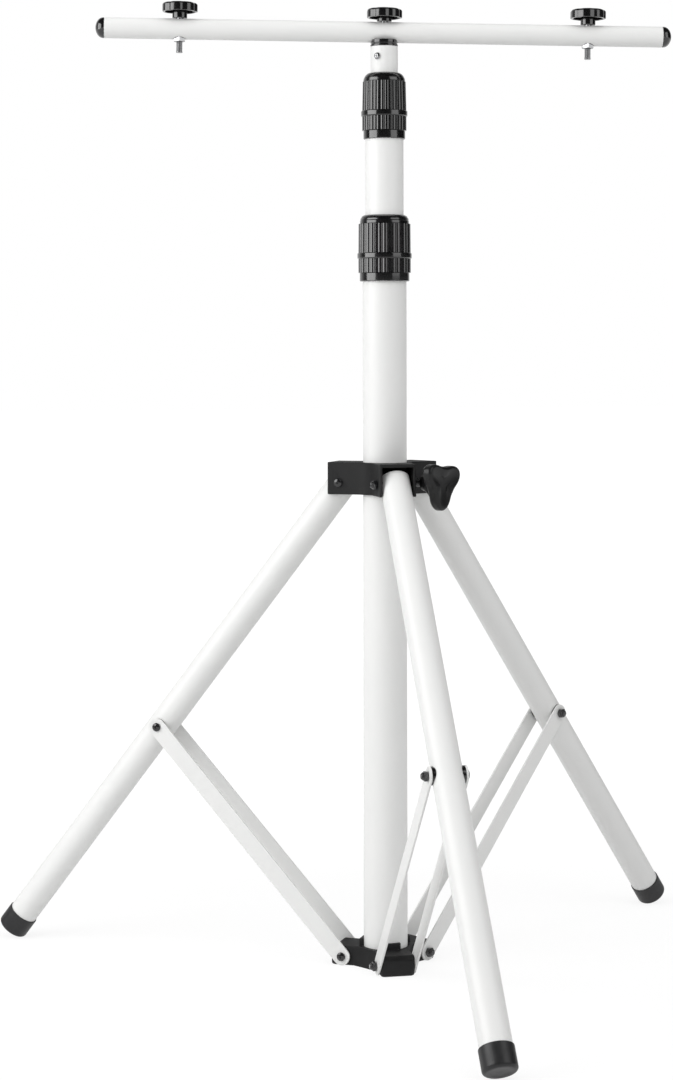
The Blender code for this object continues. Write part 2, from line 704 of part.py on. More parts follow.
def build_mast_tubes(mast, head):
    outer = tube_mesh("outer_tube", OUTER_DIAMETER, OUTER_WALL, OUTER_BOTTOM, OUTER_TOP_HEIGHT)
    place("outer_tube", outer, white_paint, mast)
    middle_low = MIDDLE_TOP_HEIGHT - MIDDLE_LENGTH
    middle = tube_mesh("mid_tube", MIDDLE_DIAMETER, MIDDLE_WALL, middle_low, MIDDLE_TOP_HEIGHT)
    place("mid_tube", middle, white_paint, mast)
    middle_bush = bush_mesh("mid_guide", OUTER_DIAMETER, OUTER_WALL, MIDDLE_DIAMETER, MIDDLE_WALL)
    place("mid_guide", middle_bush, black_plastic, mast, (0.0, 0.0, middle_low - GAP))
    top_low = TOP_TOP_HEIGHT - TOP_LENGTH
    top_bush = bush_mesh("top_guide", MIDDLE_DIAMETER, MIDDLE_WALL, TOP_DIAMETER, TOP_WALL)
    place("top_guide", top_bush, black_plastic, mast, (0.0, 0.0, top_low - GAP))
    body = turned(tube_profile(TOP_DIAMETER, TOP_WALL, top_low, TOP_TOP_HEIGHT), TUBE_ROUND)
    hole = rod(SADDLE_SCREW_DIAMETER / 2.0 + PIN_PLAY, 0.0, TOP_DIAMETER)
    screw_height = TOP_TOP_HEIGHT - SADDLE_SCREW_DROP
    towards_screw = (math.radians(90.0), 0.0, math.radians(SADDLE_SCREW_AZIMUTH))
    steps = [("DIFFERENCE", moved(hole, (0.0, 0.0, screw_height), towards_screw))]
    place("top_tube", combined("top_tube", body, steps), white_paint, head)


def ribbed_ring(crest, height):
    """A row round a ribbed band, a crest and a valley to each rib."""
    def reach(angle):
        return crest - RIB_DEPTH * (0.5 - 0.5 * math.cos(RIB_COUNT * angle))
    return ring_points(reach, height, 2 * RIB_COUNT)


def smooth_ring(radius, height):
    """A plain row whose points line up with the crests of a ribbed one."""
    return ring_points(radius, height, RIB_COUNT)


def lock_sizes(word):
    """Radii of one of the twist locks, which holds an inner tube at the end of an outer one."""
    held, tube, skirt, ribs, collar, nose = {
        "lower": (
            MIDDLE_DIAMETER, OUTER_DIAMETER,
            LOWER_LOCK_SKIRT, LOWER_LOCK_RIBS, LOWER_LOCK_COLLAR, LOWER_LOCK_NOSE,
        ),
        "upper": (
            TOP_DIAMETER, MIDDLE_DIAMETER,
            UPPER_LOCK_SKIRT, UPPER_LOCK_RIBS, UPPER_LOCK_COLLAR, UPPER_LOCK_NOSE,
        ),
    }[word]
    return {
        "skirt": skirt / 2.0,
        "ribs": ribs / 2.0,
        "bead": ribs / 2.0 + LOCK_BEAD_STEP,
        "collar": collar / 2.0,
        "nose": nose / 2.0,
        "cavity": ribs / 2.0 - RIB_DEPTH - LOCK_WALL,
        "skirt_bore": tube / 2.0 + SLIDE_PLAY,
        "lip_bore": held / 2.0 + SLIDE_PLAY,
        "collet_bore": held / 2.0 + GAP,
    }


def lock_ring_mesh(word):
    """The turning ring: skirt, short ribs, bead, long ribs and a rounded collar, bored to suit."""
    size = lock_sizes(word)
    low = -LOCK_BELOW_TUBE_END
    high = LOCK_ABOVE_TUBE_END
    skirt_top = low + LOCK_SKIRT_HEIGHT
    ribs_top = skirt_top + SHORT_RIBS_HEIGHT
    bead_top = ribs_top + BEAD_HEIGHT
    collar = high - LOCK_COLLAR_HEIGHT
    crest = size["ribs"]
    bead_edge = size["bead"] - GAP
    rows = [
        smooth_ring(size["skirt"], low),
        smooth_ring(size["skirt"], skirt_top - GAP),
        ribbed_ring(crest, skirt_top),
        ribbed_ring(crest, ribs_top - GAP),
        smooth_ring(bead_edge, ribs_top),
        smooth_ring(size["bead"], ribs_top + BEAD_HEIGHT * 0.25),
        smooth_ring(size["bead"], bead_top - BEAD_HEIGHT * 0.25),
        smooth_ring(bead_edge, bead_top),
        ribbed_ring(crest, bead_top + GAP),
        ribbed_ring(crest, collar),
    ]
    for share in (1.0, 0.7, 0.35, 0.0):
        bend = math.radians(90.0 * share)
        radius = size["nose"] + (size["collar"] - size["nose"]) * math.sin(bend)
        rows.append(smooth_ring(radius, high - LOCK_ROUNDING * (1.0 - math.cos(bend))))
    rows += [
        smooth_ring(size["lip_bore"], high),
        smooth_ring(size["lip_bore"], high - LOCK_LIP),
        smooth_ring(size["cavity"], high - LOCK_LIP - LOCK_CONE),
        smooth_ring(size["cavity"], -GAP),
        smooth_ring(size["skirt_bore"], -GAP),
        smooth_ring(size["skirt_bore"], low),
    ]
    return to_mesh(word + "_lock_ring", skin(rows, closed=True))


def collet_mesh(word):
    """The clamping sleeve on the tube's end, inside the turning ring."""
    size = lock_sizes(word)
    outside = size["cavity"] - GAP
    high = LOCK_ABOVE_TUBE_END - LOCK_LIP - COLLET_BEVEL
    shoulder = LOCK_ABOVE_TUBE_END - LOCK_LIP - LOCK_CONE - GAP
    nose = size["lip_bore"] + (outside - size["lip_bore"]) * COLLET_BEVEL / LOCK_CONE
    profile = [
        (size["collet_bore"], GAP),
        (outside, GAP),
        (outside, shoulder),
        (nose, high - GAP),
        (size["collet_bore"], high - GAP),
    ]
    return to_mesh(word + "_collet", turned(profile, RIB_COUNT))


def build_locks(mast):
    for word, height in (("lower", OUTER_TOP_HEIGHT), ("upper", MIDDLE_TOP_HEIGHT)):
        at = (0.0, 0.0, height)
        place(word + "_lock_ring", lock_ring_mesh(word), black_plastic, mast, at)
        place(word + "_collet", collet_mesh(word), black_plastic, mast, at)


def tilted(tool):
    """Turns a tool with the crossbar, about its middle."""
    return moved(tool, (0.0, 0.0, BAR_HEIGHT), (0.0, CROSSBAR_TILT, 0.0))


def build_saddle(head):
    """A grooved plug in the mast's top whose upper face is hollowed to seat the crossbar."""
    rim = SADDLE_DIAMETER / 2.0
    spigot = TOP_DIAMETER / 2.0 - TOP_WALL - GAP
    low = TOP_TOP_HEIGHT - SADDLE_SPIGOT
    groove_low = SADDLE_SHOULDER + SADDLE_SEAT_DROP - SADDLE_GROOVE
    groove_high = groove_low + SADDLE_GROOVE
    lip_top = BAR_BOTTOM_HEIGHT + SADDLE_LIP
    waist = rim - SADDLE_GROOVE_DEPTH
    profile = [
        (0.0, low),
        (spigot, low),
        (spigot, SADDLE_SHOULDER),
        (rim, SADDLE_SHOULDER),
        (rim, groove_low),
        (waist, groove_low),
        (waist, groove_high),
        (rim, groove_high),
        (rim, lip_top),
        (0.0, lip_top),
    ]
    body = turned(profile, ROUND, closed=False)
    trough = tilted(cross_hole(BAR_DIAMETER + 2.0 * GAP, SADDLE_DIAMETER))
    stud_way = rod(STUD_DIAMETER / 2.0 + PIN_PLAY, -STUD_BELOW_MIDDLE - GAP, 0.0)
    screw_way = rod(SADDLE_SCREW_DIAMETER / 2.0 + PIN_PLAY, spigot - SADDLE_SCREW_LENGTH, TOP_DIAMETER)
    towards_screw = (math.radians(90.0), 0.0, math.radians(SADDLE_SCREW_AZIMUTH))
    screw_height = TOP_TOP_HEIGHT - SADDLE_SCREW_DROP
    steps = [
        ("DIFFERENCE", trough),
        ("DIFFERENCE", tilted(stud_way)),
        ("DIFFERENCE", moved(screw_way, (0.0, 0.0, screw_height), towards_screw)),
    ]
    place("saddle", combined("saddle", body, steps), black_plastic, head)

    screw = SADDLE_SCREW_DIAMETER / 2.0
    seat = TOP_DIAMETER / 2.0 + GAP
    head_radius = SADDLE_SCREW_HEAD_DIAMETER / 2.0
    tip = spigot - SADDLE_SCREW_LENGTH + GAP
    shape = [(0.0, tip), (screw, tip), (screw, seat)]
    shape += button_head(seat, SADDLE_SCREW_HEAD_HEIGHT, head_radius)
    mesh = to_mesh("saddle_screw", turned(shape, PIN_ROUND, closed=False))
    place("saddle_screw", mesh, zinc_steel, head, (0.0, 0.0, screw_height), towards_screw)


def build_crossbar(bar):
    outer = BAR_DIAMETER / 2.0
    along = (0.0, math.radians(90.0), 0.0)
    profile = tube_profile(BAR_DIAMETER, BAR_WALL, -BAR_HALF_LENGTH, BAR_HALF_LENGTH)
    body = moved(turned(profile, ROUND), rotation=along)
    stud_hole = STUD_DIAMETER / 2.0 + PIN_PLAY
    nut_hole = LAMP_NUT_ACROSS_FLATS / 2.0 / math.cos(math.radians(30.0)) + PIN_PLAY
    steps = []
    for offset, lower_hole in (
        (-LAMP_HOLE_OFFSET, nut_hole),
        (0.0, stud_hole),
        (LAMP_HOLE_OFFSET, nut_hole),
    ):
        upper = moved(rod(stud_hole, 0.0, BAR_DIAMETER), (offset, 0.0, 0.0))
        lower = moved(rod(lower_hole, -BAR_DIAMETER, 0.0), (offset, 0.0, 0.0))
        steps += [("DIFFERENCE", upper), ("DIFFERENCE", lower)]
    place("crossbar", combined("crossbar", body, steps), white_paint, bar)

    dome = [
        (outer * math.cos(angle), GAP + CAP_RIM + CAP_DOME * math.sin(angle))
        for angle in (math.radians(18.0 * step) for step in range(5))
    ]
    shape = [(0.0, -CAP_SPIGOT), (CAP_SPIGOT_RADIUS, -CAP_SPIGOT), (CAP_SPIGOT_RADIUS, GAP)]
    shape += [(outer, GAP), *dome, (0.0, GAP + CAP_RIM + CAP_DOME)]
    cap = to_mesh("end_cap", turned(shape, ROUND, closed=False))
    for word, sign in (("left", -1.0), ("right", 1.0)):
        end = (sign * BAR_HALF_LENGTH, 0.0, 0.0)
        place("end_cap_" + word, cap, black_plastic, bar, end, (0.0, sign * along[1], 0.0))


def knob_mesh(name, boss_drop):
    """A lobed knob standing on its boss, hollow underneath, with a blind hole for the stud."""
    rim = KNOB_DIAMETER / 2.0

    def lobed(radius):
        def reach(angle):
            dip = 0.5 - 0.5 * math.cos(KNOB_LOBES * angle)
            return radius - KNOB_LOBE_DEPTH * dip ** 3
        return reach

    bottom = boss_drop
    top = bottom + KNOB_DISC_HEIGHT
    boss = KNOB_BOSS_DIAMETER / 2.0
    bore = STUD_DIAMETER / 2.0 + PIN_PLAY
    profile = [
        (0.0, STUD_IN_KNOB + GAP),
        (bore, STUD_IN_KNOB + GAP),
        (bore, 0.0),
        (boss, 0.0),
        (boss, bottom + KNOB_HOLLOW),
        (lobed(rim - KNOB_SKIRT_WALL), bottom + KNOB_HOLLOW),
        (lobed(rim - KNOB_SKIRT_WALL), bottom),
        (lobed(rim), bottom),
        (lobed(rim), top - KNOB_SHOULDER),
        (lobed(rim - KNOB_SHOULDER * 0.3), top - KNOB_SHOULDER * 0.35),
        (lobed(rim - KNOB_SHOULDER), top - KNOB_CROWN),
        (0.0, top),
    ]
    return to_mesh(name, turned(profile, 4 * KNOB_LOBES, closed=False))


def build_knobs(bar):
    radius = STUD_DIAMETER / 2.0
    seat = BAR_DIAMETER / 2.0 + GAP
    lamp_end = -BAR_DIAMETER / 2.0 - STUD_BELOW_BAR
    lamp_knob = knob_mesh("lamp_knob", LAMP_KNOB_BOSS_DROP)
    lamp_stud = to_mesh("lamp_stud", rod(radius, lamp_end, seat + STUD_IN_KNOB))
    middle_knob = knob_mesh("middle_knob", MIDDLE_KNOB_BOSS_DROP)
    middle_stud = to_mesh("middle_stud", rod(radius, -STUD_BELOW_MIDDLE, seat + STUD_IN_KNOB))
    nut = nut_mesh("lamp_nut", LAMP_NUT_ACROSS_FLATS, STUD_DIAMETER, LAMP_NUT_HEIGHT)
    nut_low = -BAR_DIAMETER / 2.0 - LAMP_NUT_BELOW_BAR
    for word, offset, knob, stud in (
        ("left", -LAMP_HOLE_OFFSET, lamp_knob, lamp_stud),
        ("middle", 0.0, middle_knob, middle_stud),
        ("right", LAMP_HOLE_OFFSET, lamp_knob, lamp_stud),
    ):
        place("knob_" + word, knob, black_plastic, bar, (offset, 0.0, seat))
        place("stud_" + word, stud, zinc_steel, bar, (offset, 0.0, 0.0))
        if offset:
            place("lamp_nut_" + word, nut, zinc_steel, bar, (offset, 0.0, nut_low))


def build():
    clear_scene()
    mast = frame("mast_axis", location=(0.0, MAST_Y, 0.0))
    head = frame("head_axis", mast, azimuth=CROSSBAR_TURN)
    bar = frame("crossbar_axis", head, (0.0, 0.0, BAR_HEIGHT))
    bar.rotation_euler = (0.0, CROSSBAR_TILT, 0.0)
    build_mast_tubes(mast, head)
    build_locks(mast)
    build_foot(mast)
    build_collar(mast)
    build_clamp(mast)
    meshes = {
        "leg": leg_mesh(),
        "boot": to_mesh("boot", turned(boot_profile(), ROUND, closed=False)),
        "strut_a": strut_mesh(-1.0),
        "strut_b": strut_mesh(1.0),
        "washer_a": saddle_washer_mesh(-1.0),
        "washer_b": saddle_washer_mesh(1.0),
        "strut_bolt": bolt_mesh("strut_bolt", STRUT_BOLT_SEAT, nut_fixed=False),
        "strut_nut": nut_mesh("strut_nut", LOCK_NUT_ACROSS_FLATS, BOLT_DIAMETER, LOCK_NUT_HEIGHT),
        "foot_bolt": bolt_mesh("foot_bolt", FOOT_BOLT_SEAT, nut_fixed=True),
        "hub_bolt": bolt_mesh("hub_bolt", COLLAR_OUTER_HALF + GAP, nut_fixed=True),
    }
    for side, azimuth in LEG_AZIMUTHS.items():
        build_leg_side(side, azimuth, mast, meshes)
    build_saddle(head)
    build_crossbar(bar)
    build_knobs(bar)


build()
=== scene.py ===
"""Visual model of a light stand with a telescopic mast, three folding legs and a crossbar.

Metres, +Z up. Each piece is built about its own axis, laid in place by one matrix, and rides on
the body of the solid that it stands for.
"""

import json
from math import asin, atan2, cos, pi, radians, sin, sqrt, tan

import bmesh
import bpy
from mathutils import Matrix, Vector

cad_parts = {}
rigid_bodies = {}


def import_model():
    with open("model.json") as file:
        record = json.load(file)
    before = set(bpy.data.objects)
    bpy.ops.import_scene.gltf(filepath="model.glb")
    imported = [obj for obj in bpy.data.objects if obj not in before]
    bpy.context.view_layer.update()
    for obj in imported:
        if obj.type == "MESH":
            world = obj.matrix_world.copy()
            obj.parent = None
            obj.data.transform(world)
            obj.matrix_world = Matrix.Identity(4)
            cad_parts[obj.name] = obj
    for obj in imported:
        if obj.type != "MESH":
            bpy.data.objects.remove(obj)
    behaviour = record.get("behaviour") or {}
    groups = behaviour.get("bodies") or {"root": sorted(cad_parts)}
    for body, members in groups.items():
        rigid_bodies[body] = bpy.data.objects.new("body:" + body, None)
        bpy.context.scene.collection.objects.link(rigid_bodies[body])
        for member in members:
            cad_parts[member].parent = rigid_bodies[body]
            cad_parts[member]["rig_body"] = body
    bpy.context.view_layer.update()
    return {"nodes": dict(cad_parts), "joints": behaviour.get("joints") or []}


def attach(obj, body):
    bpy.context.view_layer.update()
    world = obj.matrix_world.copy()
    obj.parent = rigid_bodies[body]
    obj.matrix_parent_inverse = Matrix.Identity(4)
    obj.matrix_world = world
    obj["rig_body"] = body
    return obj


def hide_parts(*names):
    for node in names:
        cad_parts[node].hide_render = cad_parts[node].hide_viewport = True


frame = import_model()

GAP = 0.0003
PIN_PLAY = 0.0003
SLIDE_PLAY = 0.0004

LEG_DIAMETER = 0.027
LEG_WALL = 0.0012
LEG_LENGTH = 0.5475
LEG_ABOVE_PIVOT = 0.006
LEG_ANGLE = radians(37.66)
STRUT_PIVOT_ALONG_LEG = 0.2924
LEG_PIN_PLAY = 0.0019
BOOT_DIAMETER = 0.029
BOOT_HEIGHT = 0.0202
BOOT_FLOOR = 0.003
BOOT_EDGE = 0.003

STRUT_LENGTH = 0.2707
STRUT_WIDTH = 0.016
STRUT_THICKNESS = 0.002
STRUT_EDGE = 0.0005
STRUT_FOOT_OFFSET = 0.01675
STRUT_BOLT_SEAT = 0.0169
STRUT_SPLAY = asin(0.00115 / STRUT_LENGTH)
WASHER_DIAMETER = 0.0158
WASHER_INNER_FACE = 0.0138
WASHER_OUTER_FACE = 0.0143

BOLT_DIAMETER = 0.005
BOLT_HEAD_DIAMETER = 0.008
BOLT_HEAD_HEIGHT = 0.0021
BOLT_TIP = 0.001
BOLT_BORE = BOLT_DIAMETER / 2.0 + PIN_PLAY
RECESS_TURN = radians(20.0)
RECESS_TAPER = 0.45
LOCK_NUT_FLATS = 0.008
LOCK_NUT_HEIGHT = 0.005
LOCK_NUT_COLLAR = 0.0034
LOCK_NUT_COLLAR_HEIGHT = 0.0014
HUB_BOLT_SEAT = 0.0173
FOOT_BOLT_SEAT = 0.01805

COLLAR_ABOVE_PIVOT = 0.0186
COLLAR_BELOW_PIVOT = 0.0108
COLLAR_PLATE = 0.003
COLLAR_INNER_HALF = 0.0144
COLLAR_OUTER_HALF = 0.0170
COLLAR_REACH = 0.0500
COLLAR_BORE = 0.0213
COLLAR_RING_WALL = 0.0022
WEB_DISTANCE = 0.0245
HUB_EDGE = 0.0007

CLAMP_BOSS_DIAMETER = 0.014
CLAMP_BOSS_REACH = 0.0355
CLAMP_SCREW_DIAMETER = 0.008
CLAMP_THREAD_PITCH = 0.00125
CLAMP_HUB_START = 0.0465
CLAMP_HUB_DIAMETER = 0.015
CLAMP_STAR_START = 0.0595
CLAMP_STAR_THICKNESS = 0.0115
CLAMP_STAR_RADIUS = 0.0246
CLAMP_WAIST_RADIUS = 0.0152
CLAMP_WING_TAPER = 1.45
CLAMP_STAR_TURN = -5.0
CLAMP_EDGE = 0.0030
CLAMP_FLARE = 0.0118
CLAMP_SOCKET_DEPTH = 0.0155

FOOT_REACH = 0.0476
FOOT_HALF_WIDTH = 0.01545
FOOT_CORNER = 0.0026
FOOT_SKIRT = 0.0006
FOOT_LOW_EDGE = 0.0020
FOOT_BELOW_PIN = 0.0076
FOOT_ABOVE_PIN = 0.0098
FOOT_FLOOR = 0.003
FOOT_CHAMFER = 0.0040
FOOT_TAB_WIDTH = 0.017
FOOT_TAB_WALL = 0.0026
FOOT_TAB_HEIGHT = 0.0060
FOOT_SOCKET = 0.0203

OUTER_TUBE = 0.040
MIDDLE_TUBE = 0.035
TOP_TUBE = 0.025
OUTER_WALL = 0.0015
MIDDLE_WALL = 0.0015
TOP_WALL = 0.0012
TUBE_RIM = 0.0003
MIDDLE_LENGTH = 0.620
TOP_LENGTH = 0.590

LOCK_BELOW = 0.0219
LOCK_ABOVE = 0.0387
LOCK_LIP = 0.0045
LOCK_CONE = 0.0050
LOCK_WALL = 0.0012
RIB_COUNT = 34
RIB_STEPS = 16
RIB_DEPTH = 0.0010
RIB_SLOPE = radians(25.5)
RIB_CREST = 0.375
RIB_FOOT = 0.875
RIB_CREASE = radians(22.0)
RIB_END = 0.00015
SKIRT_HEIGHT = 0.0077
SHORT_RIBS_HEIGHT = 0.0130
BEAD_HEIGHT = 0.0052
BEAD_STEP = 0.0010
BEAD_EDGE = 0.0009
LOCK_COLLAR_HEIGHT = 0.0080
# Each point of a nose_shape is its drop below the ring's top and its inset from the collar.
LOCK_DIAMETERS = {
    "lower": {
        "skirt": 0.0454, "ribs": 0.0478, "collar": 0.0449,
        "tube": OUTER_TUBE, "held": MIDDLE_TUBE, "taper": 0.0002, "rib_turn": radians(3.3),
        "nose_shape": (
            (0.00785, 0.0002), (0.0076, 0.0), (0.0053, 0.0001), (0.0049, 0.0006), (0.0045, 0.0002),
            (0.0033, 0.0005), (0.0025, 0.0011), (0.0022, 0.0017), (0.0018, 0.0012), (0.0011, 0.0020),
            (0.0005, 0.0029), (0.0001, 0.0036), (0.0, 0.0042),
        ),
    },
    "upper": {
        "skirt": 0.0382, "ribs": 0.0404, "collar": 0.0383,
        "tube": MIDDLE_TUBE, "held": TOP_TUBE, "taper": 0.0006, "rib_turn": radians(-2.1),
        "nose_shape": (
            (0.00785, 0.0002), (0.0076, 0.0), (0.0062, 0.0001), (0.0050, 0.0004), (0.0047, 0.0011),
            (0.0043, 0.0008), (0.0036, 0.0011), (0.0028, 0.0016), (0.0020, 0.0022), (0.0013, 0.0029),
            (0.0007, 0.0037), (0.0003, 0.0045), (0.00005, 0.0053), (0.0, 0.0059),
        ),
    },
}

BAR_DIAMETER = 0.019
BAR_WALL = 0.0012
BAR_HALF_LENGTH = 0.2554
LAMP_OFFSET = 0.187
CAP_RIM = 0.0008
CAP_DOME = 0.0072
CAP_SPIGOT = 0.012
CAP_SPIGOT_RADIUS = 0.0075
SADDLE_DIAMETER = 0.0253
SADDLE_SEAT_DROP = 0.0030
SADDLE_LIP = 0.0024
SADDLE_GROOVE = 0.0017
SADDLE_GROOVE_DEPTH = 0.0008
SADDLE_SPIGOT = 0.020
SADDLE_SCREW_DROP = 0.0096
SADDLE_SCREW_TURN = radians(-32.0)
SADDLE_SCREW_DIAMETER = 0.004
SADDLE_SCREW_LENGTH = 0.007
SADDLE_SCREW_HEAD = 0.0062
SADDLE_SCREW_HEAD_HEIGHT = 0.0016

KNOB_DIAMETER = 0.0326
KNOB_LOBES = 7
KNOB_LOBE_DEPTH = 0.0010
KNOB_DISC_HEIGHT = 0.0092
KNOB_BOSS_DROP = {"left": 0.0058, "middle": 0.0034, "right": 0.0058}
KNOB_BOSS_DIAMETER = 0.0136
KNOB_SKIRT_WALL = 0.0022
KNOB_HOLLOW = 0.0055
KNOB_SHOULDER = 0.0032
KNOB_CROWN = 0.0009
STUD_DIAMETER = 0.006
STUD_PITCH = 0.001
STUD_BORE = STUD_DIAMETER / 2.0 + PIN_PLAY
STUD_IN_KNOB = 0.009
STUD_REACH = {"left": 0.0218, "middle": 0.030, "right": 0.0218}
LAMP_NUT_FLATS = 0.010
LAMP_NUT_HEIGHT = 0.005
LAMP_NUT_BELOW_BAR = 0.0022

ROUND = 96
SMALL_ROUND = 48
SHARP_ANGLE = radians(40.0)
BEVEL_ANGLE = radians(32.0)
FLAT_FACE_WEIGHT = 70
ACROSS = Matrix.Rotation(radians(90.0), 4, "Y")
TO_SIDE = Matrix.Rotation(radians(90.0), 4, "X")

PHOTO_HEIGHT = 1080
LENS_IN_PIXELS = 2467.24
HORIZON_ROW = 347.95
CAMERA_HEIGHT = 0.56405
CAMERA_OFFSET = (-0.04414, -2.2584)
CAMERA_TURN = radians(-12.48)
CAMERA_ROLL = radians(-0.104)
SENSOR = 36.0

FLOOR_HALF = 20.0
FLOOR_COLOR = (0.80, 0.80, 0.80, 1.0)
FLOOR_FADE = 0.3
FLOOR_GLOW = 1.08
FLOOR_GLOW_SHARE = 0.80
FLOOR_SHADOW_REACH = 0.45
FLOOR_IN_GLOSS = 0.75
BACKDROP_START = 0.48
BACKDROP_FULL = 0.85
BACKDROP_IN_GLOSS = 0.60
ROOM_LEVEL = 0.015
FILL_LEVEL = 0.34
SOFTBOX_TARGET = 0.60
# Turn, distance, height, width, height of the box, level, and whether gloss mirrors it.
SOFTBOXES = {
    "left_softbox": (radians(-66.0), 1.7, 1.12, 1.6, 1.3, 3.5, True),
    "right_softbox": (radians(55.0), 1.7, 1.35, 1.3, 1.5, 1.45, True),
    "top_softbox": (0.0, 0.25, 2.50, 2.4, 2.4, 0.80, False),
    "front_softbox": (0.0, 1.35, 2.00, 2.4, 2.0, 0.36, False),
}


# Places that the frame gives

joints = {joint["name"]: joint for joint in frame["joints"]}


def joint_place(name):
    return Vector(joints[name]["pos_m"])


MAST = Vector((*joint_place("lower_lock_turn").xy, 0.0))
OUTER_TOP = joint_place("lower_lock_turn").z
MIDDLE_TOP = joint_place("upper_lock_turn").z
TOP_TOP = joint_place("head_swivel").z
FOOT_PIN = joint_place("leg_fold") - MAST
COLLAR_PIN = joint_place("collar_pivot") - MAST
LEG_PIN = joint_place("leg_front_pivot") - MAST
FOOT_LOW = FOOT_PIN.z - FOOT_BELOW_PIN
FOOT_HIGH = FOOT_PIN.z + FOOT_ABOVE_PIN
STRUT_ANGLE = asin((FOOT_PIN.y - LEG_PIN.y) / STRUT_LENGTH)
SIDES = {"front": 0.0, "right": radians(120.0), "left": radians(-120.0)}


def bar_frame():
    """Middle of the crossbar, X along it and Z along the knobs' studs."""
    up = Vector(joints["knob_middle_turn"]["axis"]).normalized()
    along = (joint_place("knob_right_turn") - joint_place("knob_left_turn")).normalized()
    middle = joint_place("knob_middle_turn") - up * (BAR_DIAMETER / 2.0 + GAP)
    columns = Matrix((along, up.cross(along), up)).transposed()
    return Matrix.Translation(middle) @ columns.to_4x4()


BAR = bar_frame()
HEAD_TURN = atan2(BAR[1][0], BAR[0][0])


def at(x=0.0, y=0.0, z=0.0):
    return Matrix.Translation((x, y, z))


def about(axis, angle):
    return Matrix.Rotation(angle, 4, axis)


MAST_FRAME = at(*MAST)
HEAD_FRAME = MAST_FRAME @ about("Z", HEAD_TURN)


# Shapes

def ring(radius, height, count, shape=None):
    """Points on a level circle; shape gives the true radius from radius, height and angle."""
    points = []
    for step in range(count):
        angle = 2.0 * pi * step / count
        reach = shape(radius, height, angle) if shape else radius
        points.append((reach * cos(angle), reach * sin(angle), height))
    return points


def skin(rows, closed):
    """A body through rows of points; a row of one point is a pole."""
    body = bmesh.new()
    laid = [[body.verts.new(point) for point in row] for row in rows]
    pairs = list(zip(laid, laid[1:]))
    if closed:
        pairs.append((laid[-1], laid[0]))
    for low, high in pairs:
        count = max(len(low), len(high))
        for step in range(count):
            after = (step + 1) % count
            if len(low) == 1:
                body.faces.new((low[0], high[step], high[after]))
            elif len(high) == 1:
                body.faces.new((low[step], low[after], high[0]))
            else:
                body.faces.new((low[step], low[after], high[after], high[step]))
    bmesh.ops.recalc_face_normals(body, faces=body.faces)
    return body


def turned(profile, count, closed=True, shape=None):
    """A turned body from (radius, height) points."""
    rows = []
    for radius, height in profile:
        on_axis = radius == 0.0
        rows.append([(0.0, 0.0, height)] if on_axis else ring(radius, height, count, shape))
    return skin(rows, closed)


def arc(radius, height, across, rise, start, end, steps):
    """Points on an oval about (radius, height), from one angle to another in degrees."""
    points = []
    for step in range(steps + 1):
        angle = radians(start + (end - start) * step / steps)
        points.append((radius + across * cos(angle), height + rise * sin(angle)))
    return points


def smooth_step(low, high, value):
    share = min(max((value - low) / (high - low), 0.0), 1.0)
    return share * share * (3.0 - 2.0 * share)


def capped(body):
    """Closes the open ends of a skin."""
    ends = [edge for edge in body.edges if edge.is_boundary]
    bmesh.ops.holes_fill(body, edges=ends, sides=0)
    bmesh.ops.recalc_face_normals(body, faces=body.faces)
    return body


def prism(outline, low, high):
    """A body with upright sides over a plan outline."""
    body = bmesh.new()
    base = body.faces.new([body.verts.new((x, y, low)) for x, y in outline])
    grown = bmesh.ops.extrude_face_region(body, geom=[base])["geom"]
    lifted = [item for item in grown if isinstance(item, bmesh.types.BMVert)]
    bmesh.ops.translate(body, verts=lifted, vec=(0.0, 0.0, high - low))
    bmesh.ops.recalc_face_normals(body, faces=body.faces)
    return body


def block(low, high):
    outline = [(low[0], low[1]), (high[0], low[1]), (high[0], high[1]), (low[0], high[1])]
    return prism(outline, low[2], high[2])


def rod(radius, low, high, count=SMALL_ROUND):
    return prism([point[:2] for point in ring(radius, 0.0, count)], low, high)


def laid(body, matrix):
    bmesh.ops.transform(body, matrix=matrix, verts=body.verts)
    return body


def cut(tool, place):
    """A step of carving that takes the tool away at its place."""
    return "DIFFERENCE", laid(tool, place)


def to_mesh(body, name):
    mesh = bpy.data.meshes.new(name)
    body.to_mesh(mesh)
    body.free()
    return mesh


def shown(name, data):
    """A new object in the scene."""
    thing = bpy.data.objects.new(name, data)
    bpy.context.scene.collection.objects.link(thing)
    return thing


def carved(name, body, steps):
    """Joins tools to a body or cuts them from it, in order."""
    blank = shown(name + "_blank", to_mesh(body, name))
    tools = []
    for operation, tool_body in steps:
        tool = shown(name + "_tool", to_mesh(tool_body, name + "_tool"))
        tools.append(tool)
        cut = blank.modifiers.new(operation, "BOOLEAN")
        cut.operation = operation
        cut.solver = "EXACT"
        cut.object = tool
    shaped = blank.evaluated_get(bpy.context.evaluated_depsgraph_get())
    mesh = bpy.data.meshes.new_from_object(shaped)
    mesh.name = name
    for thing in (blank, *tools):
        bpy.data.objects.remove(thing, do_unlink=True)
    return mesh


def even_normals(piece):
    """Keeps flat faces flat between rounded edges."""
    normals = piece.modifiers.new("even_normals", "WEIGHTED_NORMAL")
    normals.keep_sharp = True
    normals.weight = FLAT_FACE_WEIGHT


def rounded_edges(piece, width, steps):
    bevel = piece.modifiers.new("rounded_edges", "BEVEL")
    bevel.width = width
    bevel.segments = steps
    bevel.limit_method = "ANGLE"
    bevel.angle_limit = BEVEL_ANGLE
    bevel.use_clamp_overlap = False
    bevel.miter_outer = "MITER_ARC"


